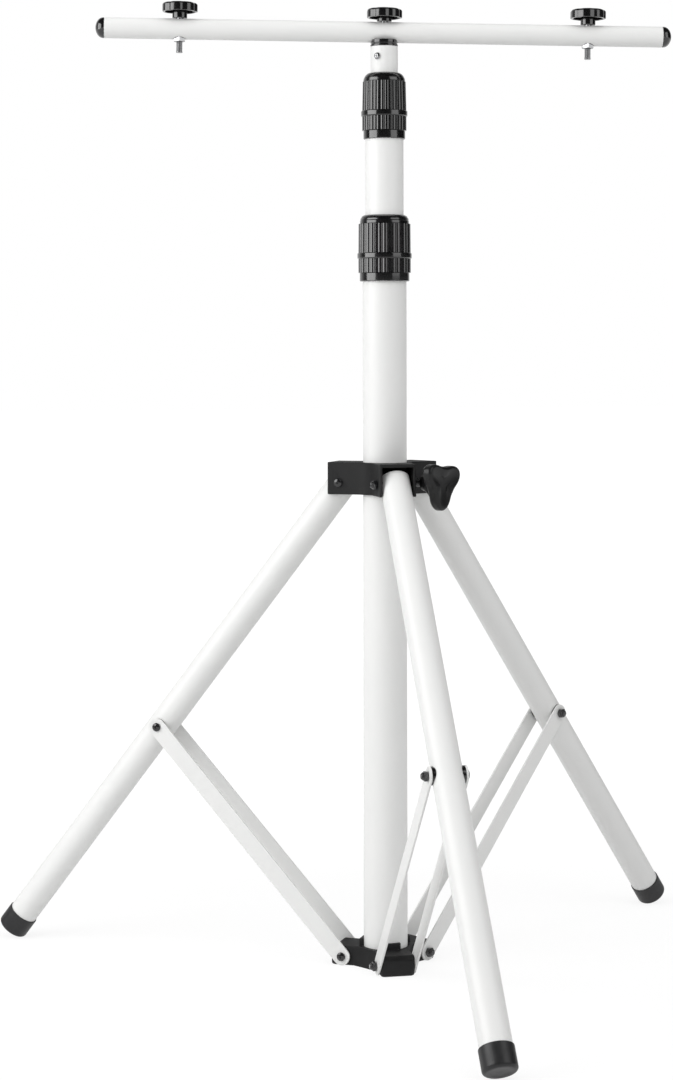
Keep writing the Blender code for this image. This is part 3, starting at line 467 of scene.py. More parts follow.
def lay(body, matrix, finish, nodes, edge=0.0, crease=SHARP_ANGLE):
    """Puts a piece in place of the solids it stands for, on their body, in its finish."""
    if isinstance(nodes, str):
        nodes = (nodes,)
    name = nodes[0] + "_piece"
    mesh = body if isinstance(body, bpy.types.Mesh) else to_mesh(body, name)
    mesh.transform(matrix)
    mesh.materials.clear()
    mesh.materials.append(FINISHES[finish])
    mesh.shade_smooth()
    mesh.set_sharp_from_angle(angle=crease)
    piece = shown(name, mesh)
    if edge:
        rounded_edges(piece, edge, 3)
    even_normals(piece)
    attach(piece, frame["nodes"][nodes[0]]["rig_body"])
    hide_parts(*nodes)
    return piece


# Finishes

def effect_group(name, inputs, outputs):
    """A node group with named number inputs, and its in and out nodes."""
    tree = bpy.data.node_groups.new(name, "ShaderNodeTree")
    for label, value in inputs:
        socket = tree.interface.new_socket(label, in_out="INPUT", socket_type="NodeSocketFloat")
        socket.default_value = value
    for label in outputs:
        tree.interface.new_socket(label, in_out="OUTPUT", socket_type="NodeSocketFloat")
    return tree, tree.nodes.new("NodeGroupInput"), tree.nodes.new("NodeGroupOutput")


def math_node(tree, operation, first, second=None, clamp=False):
    node = tree.nodes.new("ShaderNodeMath")
    node.operation = operation
    node.use_clamp = clamp
    for socket, value in zip(node.inputs, (first, second)):
        if isinstance(value, bpy.types.NodeSocket):
            tree.links.new(value, socket)
        elif value is not None:
            socket.default_value = value
    return node.outputs[0]


def object_place(tree):
    return tree.nodes.new("ShaderNodeTexCoord").outputs["Object"]


def noise(tree, vector, size, detail, roughness=0.5):
    """Noise whose patches are about size metres across."""
    node = tree.nodes.new("ShaderNodeTexNoise")
    tree.links.new(vector, node.inputs["Vector"])
    tree.links.new(math_node(tree, "DIVIDE", 1.0, size), node.inputs["Scale"])
    node.inputs["Detail"].default_value = detail
    node.inputs["Roughness"].default_value = roughness
    return node.outputs["Fac"]


def surface_grain_group():
    """Height of a fine grain with a slow swell under it."""
    inputs = [("Grain Size", 0.0005), ("Swell Size", 0.004), ("Swell Share", 0.4)]
    tree, given, out = effect_group("surface_grain", inputs, ["Height"])
    place = object_place(tree)
    grain = noise(tree, place, given.outputs["Grain Size"], 2.0)
    swell = noise(tree, place, given.outputs["Swell Size"], 1.0)
    raised = math_node(tree, "MULTIPLY", swell, given.outputs["Swell Share"])
    tree.links.new(math_node(tree, "ADD", grain, raised), out.inputs["Height"])
    return tree


def soft_patches_group():
    """A slow mask of cloudy patches, from 0 to 1."""
    tree, given, out = effect_group("soft_patches", [("Patch Size", 0.02)], ["Mask"])
    place = object_place(tree)
    cloud = noise(tree, place, given.outputs["Patch Size"], 3.0, 0.6)
    spread = math_node(tree, "SUBTRACT", cloud, 0.3)
    tree.links.new(math_node(tree, "MULTIPLY", spread, 2.5, clamp=True), out.inputs["Mask"])
    return tree


def worn_and_highlit_edges_group():
    """A mask of the outer edges, broken up by fine patches: partly wear from handling, partly a painted
    highlight.
    """
    inputs = [("Edge Width", 0.06), ("Break Size", 0.002)]
    tree, given, out = effect_group("worn_and_highlit_edges", inputs, ["Mask"])
    bend = tree.nodes.new("ShaderNodeNewGeometry").outputs["Pointiness"]
    lifted = math_node(tree, "SUBTRACT", bend, 0.5)
    sharp = math_node(tree, "DIVIDE", lifted, given.outputs["Edge Width"], clamp=True)
    place = object_place(tree)
    broken = noise(tree, place, given.outputs["Break Size"], 4.0, 0.65)
    mask = math_node(tree, "MULTIPLY", sharp, broken, clamp=True)
    tree.links.new(mask, out.inputs["Mask"])
    return tree


EFFECTS = {
    "grain": surface_grain_group(),
    "patches": soft_patches_group(),
    # The edges mask: partly edge wear, partly a painted highlight along the outer edges.
    "edges": worn_and_highlit_edges_group(),
}


def effect(tree, name, **values):
    node = tree.nodes.new("ShaderNodeGroup")
    node.node_tree = EFFECTS[name]
    for label, value in values.items():
        node.inputs[label.replace("_", " ")].default_value = value
    return node.outputs[0]


def blended(tree, mask, first, second):
    """A colour that goes from first to second as the mask rises."""
    node = tree.nodes.new("ShaderNodeMix")
    node.data_type = "RGBA"
    tree.links.new(mask, node.inputs["Factor"])
    for label, color in (("A", first), ("B", second)):
        socket = next(s for s in node.inputs if s.name == label and s.type == "RGBA")
        if isinstance(color, bpy.types.NodeSocket):
            tree.links.new(color, socket)
        else:
            socket.default_value = (*color, 1.0)
    return next(s for s in node.outputs if s.type == "RGBA")


def ranged(tree, mask, low, high):
    return math_node(tree, "ADD", math_node(tree, "MULTIPLY", mask, high - low), low)


def finish_material(name, look):
    """One finish: its colours, gloss, grain, and outer edges that are worn and carry a painted
    highlight, from named values.
    """
    material = bpy.data.materials.new(name)
    material.use_nodes = True
    tree = material.node_tree
    shader = tree.nodes["Principled BSDF"]
    patches = effect(tree, "patches", Patch_Size=look["patch_size"])
    # Outer edges take a lighter colour: partly wear, partly a painted highlight.
    edges = effect(tree, "edges", Edge_Width=look["edge_width"], Break_Size=look["break_size"])
    color = blended(tree, patches, look["color"], look["patch_color"])
    color = blended(tree, edges, color, look["edge_wear_and_highlight_color"])
    tree.links.new(color, shader.inputs["Base Color"])
    gloss = ranged(tree, patches, *look["roughness"])
    rubbed = math_node(tree, "MULTIPLY", edges, look["edge_polish"])
    gloss = math_node(tree, "SUBTRACT", gloss, rubbed, clamp=True)
    tree.links.new(gloss, shader.inputs["Roughness"])
    shader.inputs["Metallic"].default_value = look.get("metallic", 0.0)
    shader.inputs["Specular IOR Level"].default_value = look.get("specular", 0.5)
    shader.inputs["Coat Weight"].default_value = look.get("coat", 0.0)
    shader.inputs["Coat Roughness"].default_value = look.get("coat_roughness", 0.03)
    grain = effect(
        tree, "grain",
        Grain_Size=look["grain_size"], Swell_Size=look["swell_size"], Swell_Share=look["swell_share"],
    )
    bump = tree.nodes.new("ShaderNodeBump")
    bump.inputs["Strength"].default_value = 1.0
    bump.inputs["Distance"].default_value = look["grain_depth"]
    tree.links.new(grain, bump.inputs["Height"])
    tree.links.new(bump.outputs["Normal"], shader.inputs["Normal"])
    return material


# The edge colour of each finish lightens its outer edges: partly wear, partly a painted highlight.
LOOKS = {
    "white_paint": {
        "color": (0.86, 0.86, 0.85), "patch_color": (0.84, 0.845, 0.835),
        "edge_wear_and_highlight_color": (0.88, 0.88, 0.87), "patch_size": 0.05, "specular": 0.35,
        "roughness": (0.36, 0.42), "edge_width": 0.10, "break_size": 0.002, "edge_polish": 0.05,
        "coat": 0.15, "coat_roughness": 0.16,
        "grain_size": 0.0009, "swell_size": 0.0045, "swell_share": 0.8, "grain_depth": 0.000006,
    },
    "black_plastic": {
        "color": (0.0035, 0.0035, 0.0038), "patch_color": (0.0050, 0.0050, 0.0054),
        "edge_wear_and_highlight_color": (0.0065, 0.0065, 0.0068), "patch_size": 0.012, "specular": 0.62,
        "roughness": (0.17, 0.23), "edge_width": 0.10, "break_size": 0.0040, "edge_polish": 0.01,
        "coat": 1.0, "coat_roughness": 0.09,
        "grain_size": 0.0020, "swell_size": 0.006, "swell_share": 1.0, "grain_depth": 0.000002,
    },
    "matt_plastic": {
        "color": (0.0095, 0.0095, 0.0098), "patch_color": (0.0125, 0.0125, 0.0129),
        "edge_wear_and_highlight_color": (0.032, 0.032, 0.033), "patch_size": 0.009, "specular": 0.32,
        "roughness": (0.52, 0.62), "edge_width": 0.08, "break_size": 0.0010, "edge_polish": 0.10,
        "grain_size": 0.00035, "swell_size": 0.003, "swell_share": 0.2, "grain_depth": 0.00003,
    },
    "satin_plastic": {
        "color": (0.0060, 0.0060, 0.0062), "patch_color": (0.0080, 0.0080, 0.0083),
        "edge_wear_and_highlight_color": (0.020, 0.020, 0.021), "patch_size": 0.009, "specular": 0.40,
        "roughness": (0.30, 0.38), "edge_width": 0.08, "break_size": 0.0010, "edge_polish": 0.05,
        "grain_size": 0.0004, "swell_size": 0.003, "swell_share": 0.3, "grain_depth": 0.000010,
    },
    "boot_rubber": {
        "color": (0.016, 0.016, 0.017), "patch_color": (0.021, 0.021, 0.022),
        "edge_wear_and_highlight_color": (0.035, 0.035, 0.036), "patch_size": 0.006,
        "roughness": (0.34, 0.44), "edge_width": 0.10, "break_size": 0.0015, "edge_polish": -0.05,
        "grain_size": 0.0004, "swell_size": 0.003, "swell_share": 0.5, "grain_depth": 0.00001,
    },
    "black_steel": {
        "color": (0.008, 0.008, 0.009), "patch_color": (0.012, 0.012, 0.013),
        "edge_wear_and_highlight_color": (0.06, 0.06, 0.063), "patch_size": 0.002,
        "roughness": (0.12, 0.18), "edge_width": 0.08, "break_size": 0.0005, "edge_polish": 0.03,
        "metallic": 0.25, "coat": 1.0, "coat_roughness": 0.03,
        "grain_size": 0.0003, "swell_size": 0.002, "swell_share": 0.5, "grain_depth": 0.000003,
    },
    "zinc_steel": {
        "color": (0.40, 0.40, 0.405), "patch_color": (0.34, 0.345, 0.355),
        "edge_wear_and_highlight_color": (0.52, 0.52, 0.52), "patch_size": 0.003,
        "roughness": (0.09, 0.15), "edge_width": 0.10, "break_size": 0.0006, "edge_polish": 0.03,
        "metallic": 1.0,
        "grain_size": 0.0004, "swell_size": 0.003, "swell_share": 0.5, "grain_depth": 0.000003,
    },
}

FINISHES = {name: finish_material(name, look) for name, look in LOOKS.items()}


# Fasteners

def hexagon(across_flats):
    """Keeps a turned shape inside a hexagon."""
    def shape(radius, height, angle):
        from_flat = (angle + radians(30.0)) % radians(60.0) - radians(30.0)
        return min(radius, across_flats / 2.0 / cos(from_flat))
    return shape


def nut_side(across_flats, low, high):
    """Side of a hexagon nut with both ends chamfered, from low to high."""
    corner = across_flats / 2.0 / cos(radians(30.0))
    start = across_flats / 2.0 * 0.96
    drop = (corner - start) * tan(radians(30.0))
    slope = [(start + (corner - start) * share, drop * share) for share in (0.0, 0.35, 0.7, 1.0)]
    side = [(radius, low + rise) for radius, rise in slope]
    return side + [(radius, high - rise) for radius, rise in reversed(slope)]


def lock_nut_side(low):
    """Outside of a lock nut: the collar round its insert below, then its hexagon."""
    collar = LOCK_NUT_COLLAR
    step = low + LOCK_NUT_COLLAR_HEIGHT
    rounded = arc(collar - 0.0007, low + 0.0007, 0.0007, 0.0007, -90.0, 0.0, 4)
    return [*rounded, (collar, step), *nut_side(LOCK_NUT_FLATS, step, low + LOCK_NUT_HEIGHT)]


def cross_recess(width, length, top, depth):
    """Two tapered slots that cross, cut from the top of a screw's head."""
    tools = []
    for turn in (0.0, radians(90.0)):
        slot = block((-length / 2.0, -width / 2.0, top - depth), (length / 2.0, width / 2.0, top * 1.5))
        for corner in slot.verts:
            if corner.co.z < top:
                corner.co.x *= RECESS_TAPER
        tools.append(cut(slot, about("Z", turn + RECESS_TURN)))
    return tools


def button(radius, seat, height):
    """Domed head on its seat, from its rim to the axis."""
    rim = height * 0.28
    dome = arc(0.0, seat + rim, radius, height - rim, 8.0, 84.0, 8)
    return [(radius * 0.98, seat), (radius, seat + rim * 0.5), *dome, (0.0, seat + height)]


def bolt(name, seat, with_nut):
    """A bolt along Z with its head at +Z, and the nut on its tip where that is fixed to it."""
    shaft = BOLT_DIAMETER / 2.0
    nut_end = seat + LOCK_NUT_HEIGHT
    tip = nut_end + BOLT_TIP
    profile = [(0.0, -tip), (shaft * 0.78, -tip), (shaft, -tip + 0.0005)]
    if with_nut:
        profile += [(shaft, -nut_end), *lock_nut_side(-nut_end)]
        profile.append((shaft, -seat))
    profile += [(shaft, seat), *button(BOLT_HEAD_DIAMETER / 2.0, seat, BOLT_HEAD_HEIGHT)]
    body = turned(profile, SMALL_ROUND, closed=False, shape=hexagon(LOCK_NUT_FLATS))
    return carved(name, body, cross_recess(0.0010, 0.0046, seat + BOLT_HEAD_HEIGHT, 0.0014))


def lock_nut(name):
    """The separate lock nut, its collar end on z = 0."""
    profile = [(BOLT_BORE, 0.0), *lock_nut_side(0.0), (BOLT_BORE, LOCK_NUT_HEIGHT)]
    return to_mesh(turned(profile, SMALL_ROUND, shape=hexagon(LOCK_NUT_FLATS)), name)


def threaded(pitch, depth, low, high):
    """Cuts a thread into a turned shape between two heights."""
    def shape(radius, height, angle):
        if radius < depth * 6.0 or not low < height < high:
            return radius
        phase = (height / pitch - angle / (2.0 * pi)) % 1.0
        ends = min(1.0, (height - low) / pitch, (high - height) / pitch)
        return radius - depth * ends * (1.0 - abs(2.0 * phase - 1.0)) ** 0.8
    return shape


def threaded_rod(radius, low, high, thread_low, thread_high, pitch):
    """A rod with eased ends and a cut thread between two heights."""
    edge = radius * 0.14
    rows = int((thread_high - thread_low) / pitch * 6.0)
    profile = [(0.0, low), (radius - edge, low), (radius, low + edge)]
    for step in range(rows + 1):
        height = thread_low + (thread_high - thread_low) * step / rows
        if low + edge < height < high - edge:
            profile.append((radius, height))
    profile += [(radius, high - edge), (radius - edge, high), (0.0, high)]
    shape = threaded(pitch, pitch * 0.5, thread_low, thread_high)
    return turned(profile, 32, closed=False, shape=shape)


# Tubes

def tube_rows(radius, wall, low, high, stations=()):
    """Profile of a tube with eased rims; stations are extra rows where holes go through."""
    inner = radius - wall
    inside = [(inner, height) for height in sorted(stations, reverse=True)]
    outside = [(radius, height) for height in sorted(stations)]
    lower = [(inner, low + TUBE_RIM), (inner + TUBE_RIM, low)]
    lower += [(radius - TUBE_RIM, low), (radius, low + TUBE_RIM)]
    upper = [(radius, high - TUBE_RIM), (radius - TUBE_RIM, high)]
    upper += [(inner + TUBE_RIM, high), (inner, high - TUBE_RIM)]
    return [*lower, *outside, *upper, *inside]


def around(centres, reach, count):
    """Evenly spaced heights on both sides of each centre."""
    return [
        centre + reach * (2.0 * step / count - 1.0)
        for centre in centres for step in range(count + 1)
    ]


def mast_tubes():
    """The three tubes of the mast; the top one has a hole for the saddle's screw."""
    foot_floor = FOOT_LOW + FOOT_FLOOR + GAP
    outer = tube_rows(OUTER_TUBE / 2.0, OUTER_WALL, foot_floor, OUTER_TOP)
    lay(turned(outer, ROUND), MAST_FRAME, "white_paint", "outer_tube")
    middle = tube_rows(MIDDLE_TUBE / 2.0, MIDDLE_WALL, MIDDLE_TOP - MIDDLE_LENGTH, MIDDLE_TOP)
    lay(turned(middle, ROUND), MAST_FRAME, "white_paint", "mid_tube")
    screw_height = TOP_TOP - SADDLE_SCREW_DROP
    stations = around([screw_height], 0.004, 6)
    top = tube_rows(TOP_TUBE / 2.0, TOP_WALL, TOP_TOP - TOP_LENGTH, TOP_TOP, stations)
    hole = rod(SADDLE_SCREW_DIAMETER / 2.0 + PIN_PLAY, 0.0, TOP_TUBE)
    drill = at(z=screw_height) @ about("Z", SADDLE_SCREW_TURN) @ TO_SIDE
    mesh = carved("top_tube_piece", turned(top, ROUND), [cut(hole, drill)])
    lay(mesh, HEAD_FRAME, "white_paint", "top_tube")


def leg_tube():
    """A leg along Z from its pivot down, cut square above the pivot."""
    bottom = -LEG_LENGTH + BOOT_FLOOR + GAP
    stations = around([-STRUT_PIVOT_ALONG_LEG], 0.0045, 6) + around([-0.0015], 0.006, 6)
    rows = tube_rows(LEG_DIAMETER / 2.0, LEG_WALL, bottom, LEG_ABOVE_PIVOT, stations)
    steps = []
    for radius, height in (
        (BOLT_DIAMETER / 2.0 + LEG_PIN_PLAY, 0.0),
        (BOLT_BORE, -STRUT_PIVOT_ALONG_LEG),
    ):
        steps.append(cut(rod(radius, -LEG_DIAMETER, LEG_DIAMETER), at(z=height) @ ACROSS))
    return carved("leg_tube", turned(rows, ROUND), steps)


def boot():
    """A moulded cap on the leg's end, with a rounded toe and an eased mouth."""
    outer = BOOT_DIAMETER / 2.0
    inner = LEG_DIAMETER / 2.0 + GAP
    end = -LEG_LENGTH
    mouth = end + BOOT_HEIGHT
    toe = arc(outer - BOOT_EDGE, end + BOOT_EDGE, BOOT_EDGE, BOOT_EDGE, -90.0, 0.0, 8)
    profile = [
        (0.0, end + 0.0004), (outer * 0.55, end + 0.0004), (outer * 0.62, end),
        *toe,
        (outer, mouth - 0.0007), (outer - 0.0002, mouth - 0.0002), (outer - 0.0005, mouth),
        (inner, mouth), (inner, end + BOOT_FLOOR), (0.0, end + BOOT_FLOOR),
    ]
    return to_mesh(turned(profile, ROUND, closed=False), "boot")


# Struts and their washers

def strut(sign):
    """A flat bar with round ends and eased edges, on its lower pin, leaning in from one side."""
    def outline(inset):
        half = STRUT_WIDTH / 2.0 - inset
        points = []
        for start, middle in ((pi, 0.0), (0.0, STRUT_LENGTH)):
            for step in range(25):
                angle = start + pi * step / 24.0
                points.append((half * cos(angle), middle + half * sin(angle)))
        return points

    half = STRUT_THICKNESS / 2.0
    levels = [(STRUT_EDGE, -half), (STRUT_EDGE * 0.3, -half + STRUT_EDGE * 0.3)]
    levels += [(0.0, -half + STRUT_EDGE), (0.0, half - STRUT_EDGE)]
    levels += [(STRUT_EDGE * 0.3, half - STRUT_EDGE * 0.3), (STRUT_EDGE, half)]
    rows = [[(x, y, level) for x, y in outline(inset)] for inset, level in levels]
    body = capped(skin(rows, closed=False))
    upright = Matrix(((0, 0, 1, 0), (1, 0, 0, 0), (0, 1, 0, 0), (0, 0, 0, 1)))
    steps = []
    for height in (0.0, STRUT_LENGTH):
        steps.append(cut(rod(BOLT_BORE, -STRUT_WIDTH, STRUT_WIDTH), at(z=height) @ ACROSS))
    mesh = carved("strut", laid(body, upright), steps)
    mesh.transform(about("Y", -sign * STRUT_SPLAY))
    return mesh


def saddle_washer(sign):
    """A washer hollowed on its inner face to sit on the leg."""
    hole = BOLT_BORE
    rim = WASHER_DIAMETER / 2.0
    ease = 0.0003

    def row(radius, depth):
        points = []
        for step in range(SMALL_ROUND):
            angle = 2.0 * pi * step / SMALL_ROUND
            side = radius * cos(angle)
            on_leg = sqrt(WASHER_INNER_FACE ** 2 - side ** 2)
            reach = WASHER_OUTER_FACE - depth if depth is not None else on_leg
            points.append((sign * reach, side, radius * sin(angle)))
        return points

    rows = [row(hole, None), row((hole + rim) / 2.0, None), row(rim, None)]
    rows += [row(rim, ease), row(rim - ease * 0.3, ease * 0.3), row(rim - ease, 0.0), row(hole, 0.0)]
    return to_mesh(skin(rows, closed=True), "saddle_washer")


def leg_sides():
    """Three legs with their boots, struts and fasteners."""
    shared = {
        "leg": leg_tube(),
        "boot": boot(),
        "strut_a": strut(-1.0),
        "strut_b": strut(1.0),
        "washer_a": saddle_washer(-1.0),
        "washer_b": saddle_washer(1.0),
        "strut_bolt": bolt("strut_bolt", STRUT_BOLT_SEAT, with_nut=False),
        "strut_nut": lock_nut("strut_nut"),
        "foot_bolt": bolt("foot_bolt", FOOT_BOLT_SEAT, with_nut=True),
        "hub_bolt": bolt("hub_bolt", HUB_BOLT_SEAT, with_nut=True),
    }
    for side, azimuth in SIDES.items():
        arm = MAST_FRAME @ about("Z", azimuth)
        leg = arm @ at(*COLLAR_PIN) @ about("X", -LEG_ANGLE)
        washer = arm @ at(*LEG_PIN) @ about("X", -LEG_ANGLE)
        lay(shared["leg"].copy(), leg, "white_paint", "leg_" + side)
        lay(shared["boot"].copy(), leg, "boot_rubber", "boot_" + side)
        for hand, sign in (("a", -1.0), ("b", 1.0)):
            name = side + "_" + hand
            foot = arm @ at(sign * STRUT_FOOT_OFFSET, FOOT_PIN.y, FOOT_PIN.z)
            bar = foot @ about("X", STRUT_ANGLE)
            lay(shared["strut_" + hand].copy(), bar, "white_paint", "strut_" + name)
            lay(shared["washer_" + hand].copy(), washer, "black_plastic", "washer_" + name)
        nut = at(-STRUT_BOLT_SEAT - LOCK_NUT_HEIGHT, LEG_PIN.y, LEG_PIN.z)
        for kind, place in (
            ("strut_bolt", at(*LEG_PIN)),
            ("strut_nut", nut),
            ("foot_bolt", at(*FOOT_PIN)),
            ("hub_bolt", at(*COLLAR_PIN)),
        ):
            lay(shared[kind].copy(), arm @ place @ ACROSS, "black_steel", kind + "_" + side)


# Collar and foot

def three_arms(half_width, reach, corner):
    """Plan outline of three arms joined by flat webs, their outer corners rounded."""
    step_out = (WEB_DISTANCE - half_width * sin(radians(60.0))) / 0.5
    arm = [(-half_width, step_out)]
    for side, start in ((-1.0, 180.0), (1.0, 90.0)):
        for step in range(5):
            angle = radians(start - 22.5 * step)
            arm.append((
                side * (half_width - corner) + corner * cos(angle),
                reach - corner + corner * sin(angle),
            ))
    arm.append((half_width, step_out))
    points = []
    for turn in SIDES.values():
        for across, out in arm:
            points.append((
                across * cos(turn) + out * sin(turn),
                across * sin(turn) - out * cos(turn),
            ))
    return points


def leg_collar():
    """The collar: three channels open below and outwards, round a bored ring with a clamp boss."""
    low = COLLAR_PIN.z - COLLAR_BELOW_PIVOT
    high = COLLAR_PIN.z + COLLAR_ABOVE_PIVOT
    ring_outside = COLLAR_BORE + COLLAR_RING_WALL
    body = prism(three_arms(COLLAR_OUTER_HALF, COLLAR_REACH, 0.0012), low, high)
    boss = rod(CLAMP_BOSS_DIAMETER / 2.0, COLLAR_BORE, CLAMP_BOSS_REACH)
    steps = [("UNION", laid(boss, CLAMP_FROM_MAST))]
    for turn in SIDES.values():
        channel = block(
            (-COLLAR_INNER_HALF, -2.0 * COLLAR_REACH, low - COLLAR_PLATE),
            (COLLAR_INNER_HALF, -ring_outside, high - COLLAR_PLATE),
        )
        steps.append(cut(channel, about("Z", turn)))
        pin = about("Z", turn) @ at(*COLLAR_PIN) @ ACROSS
        steps.append(cut(rod(BOLT_BORE, -COLLAR_REACH, COLLAR_REACH, 24), pin))
    steps.append(("DIFFERENCE", rod(COLLAR_BORE, low - COLLAR_PLATE, high + COLLAR_PLATE, 72)))
    screw_way = rod(CLAMP_SCREW_DIAMETER / 2.0 + PIN_PLAY, 0.0, COLLAR_REACH, 24)
    steps.append(cut(screw_way, CLAMP_FROM_MAST))
    lay(carved("leg_hub_piece", body, steps), MAST_FRAME, "matt_plastic", "leg_hub", HUB_EDGE)


def foot():
    """The foot: three sloped arms for the struts, a socket for the mast and three tabs."""
    base = FOOT_LOW - FOOT_SKIRT
    levels = arc(FOOT_LOW_EDGE, base + FOOT_LOW_EDGE, FOOT_LOW_EDGE, FOOT_LOW_EDGE, 270.0, 180.0, 5)
    rows = []
    for inset, height in [*levels, (0.0, FOOT_HIGH)]:
        outline = three_arms(FOOT_HALF_WIDTH - inset, FOOT_REACH - inset, FOOT_CORNER)
        rows.append([(x, y, height) for x, y in outline])
    body = capped(skin(rows, closed=False))
    steps = []
    for turn in SIDES.values():
        tab = block(
            (-FOOT_TAB_WIDTH / 2.0, -FOOT_SOCKET - FOOT_TAB_WALL, FOOT_HIGH - FOOT_TAB_WALL),
            (FOOT_TAB_WIDTH / 2.0, -FOOT_SOCKET / 2.0, FOOT_HIGH + FOOT_TAB_HEIGHT),
        )
        slope = prism([
            (FOOT_REACH + FOOT_CHAMFER, FOOT_HIGH - 2.0 * FOOT_CHAMFER),
            (FOOT_REACH + FOOT_CHAMFER, FOOT_HIGH + FOOT_CHAMFER),
            (FOOT_REACH - 2.0 * FOOT_CHAMFER, FOOT_HIGH + FOOT_CHAMFER),
        ], -2.0 * FOOT_HALF_WIDTH, 2.0 * FOOT_HALF_WIDTH)
        upright = about("Z", radians(-90.0)) @ TO_SIDE
        pin = about("Z", turn) @ at(*FOOT_PIN) @ ACROSS
        steps.append(("UNION", laid(tab, about("Z", turn))))
        steps.append(cut(slope, about("Z", turn) @ upright))
        steps.append(cut(rod(BOLT_BORE, -FOOT_REACH, FOOT_REACH, 24), pin))
    socket = rod(FOOT_SOCKET, FOOT_LOW + FOOT_FLOOR, FOOT_HIGH + 2.0 * FOOT_TAB_HEIGHT, 72)
    steps.append(("DIFFERENCE", socket))
    lay(carved("bottom_hub_piece", body, steps), MAST_FRAME, "matt_plastic", "bottom_hub", HUB_EDGE)


def clamp_frame():
    """Mast frame to the clamp screw's axis, Z outwards."""
    axis = Vector(joints["clamp_turn"]["axis"])
    height = joint_place("clamp_turn").z
    turn = atan2(axis.x, -axis.y)
    return at(z=height) @ about("Z", turn) @ TO_SIDE


CLAMP_FROM_MAST = clamp_frame()


def clamp():
    """The clamp screw and its three-wing knob."""
    holder = MAST_FRAME @ CLAMP_FROM_MAST
    screw = CLAMP_SCREW_DIAMETER / 2.0
    socket_end = CLAMP_HUB_START + CLAMP_SOCKET_DEPTH
    end = socket_end - GAP
    thread = (COLLAR_BORE + 0.001, CLAMP_HUB_START + 0.002)
    body = threaded_rod(screw, COLLAR_BORE, end, *thread, CLAMP_THREAD_PITCH)
    lay(body, holder, "black_steel", "clamp_screw")

    back = CLAMP_STAR_START
    front = back + CLAMP_STAR_THICKNESS
    hub = CLAMP_HUB_DIAMETER / 2.0
    wing = CLAMP_STAR_RADIUS

    def star(radius, height, angle):
        swing = cos(3.0 * (angle + radians(90.0 - CLAMP_STAR_TURN)))
        lobe = (0.5 + 0.5 * swing) ** CLAMP_WING_TAPER
        flow = smooth_step(back - CLAMP_FLARE, back + CLAMP_EDGE, height)
        spread = smooth_step(hub, CLAMP_WAIST_RADIUS, radius) * flow
        wings = CLAMP_WAIST_RADIUS + (wing - CLAMP_WAIST_RADIUS) * lobe - (wing - radius)
        return radius + (wings - radius) * spread

    bore = screw + PIN_PLAY
    edge = CLAMP_EDGE
    profile = [
        (0.0, socket_end), (bore, socket_end),
        (bore, CLAMP_HUB_START + 0.0004), (bore + 0.0004, CLAMP_HUB_START),
        (hub - 0.0008, CLAMP_HUB_START), (hub - 0.0002, CLAMP_HUB_START + 0.0003),
        (hub, CLAMP_HUB_START + 0.0009), (hub, back - CLAMP_FLARE),
    ]
    for step in range(1, 10):
        share = step / 9.0
        reach = hub + (wing - 0.5 * edge - hub) * share ** 1.7
        profile.append((reach, back - CLAMP_FLARE + (CLAMP_FLARE + 0.5 * edge) * share ** 0.9))
    profile += [
        *arc(wing - edge, back + 1.5 * edge, edge, edge, -40.0, 0.0, 3),
        *arc(wing - edge, front - edge, edge, edge, 0.0, 90.0, 6),
        (wing - 2.0 * edge, front - 0.0003), (wing * 0.55, front - 0.0012),
        (wing * 0.30, front - 0.0016), (0.0, front - 0.0018),
    ]
    knob = turned(profile, 144, closed=False, shape=star)
    lay(knob, holder, "satin_plastic", "clamp_knob")


# Twist locks

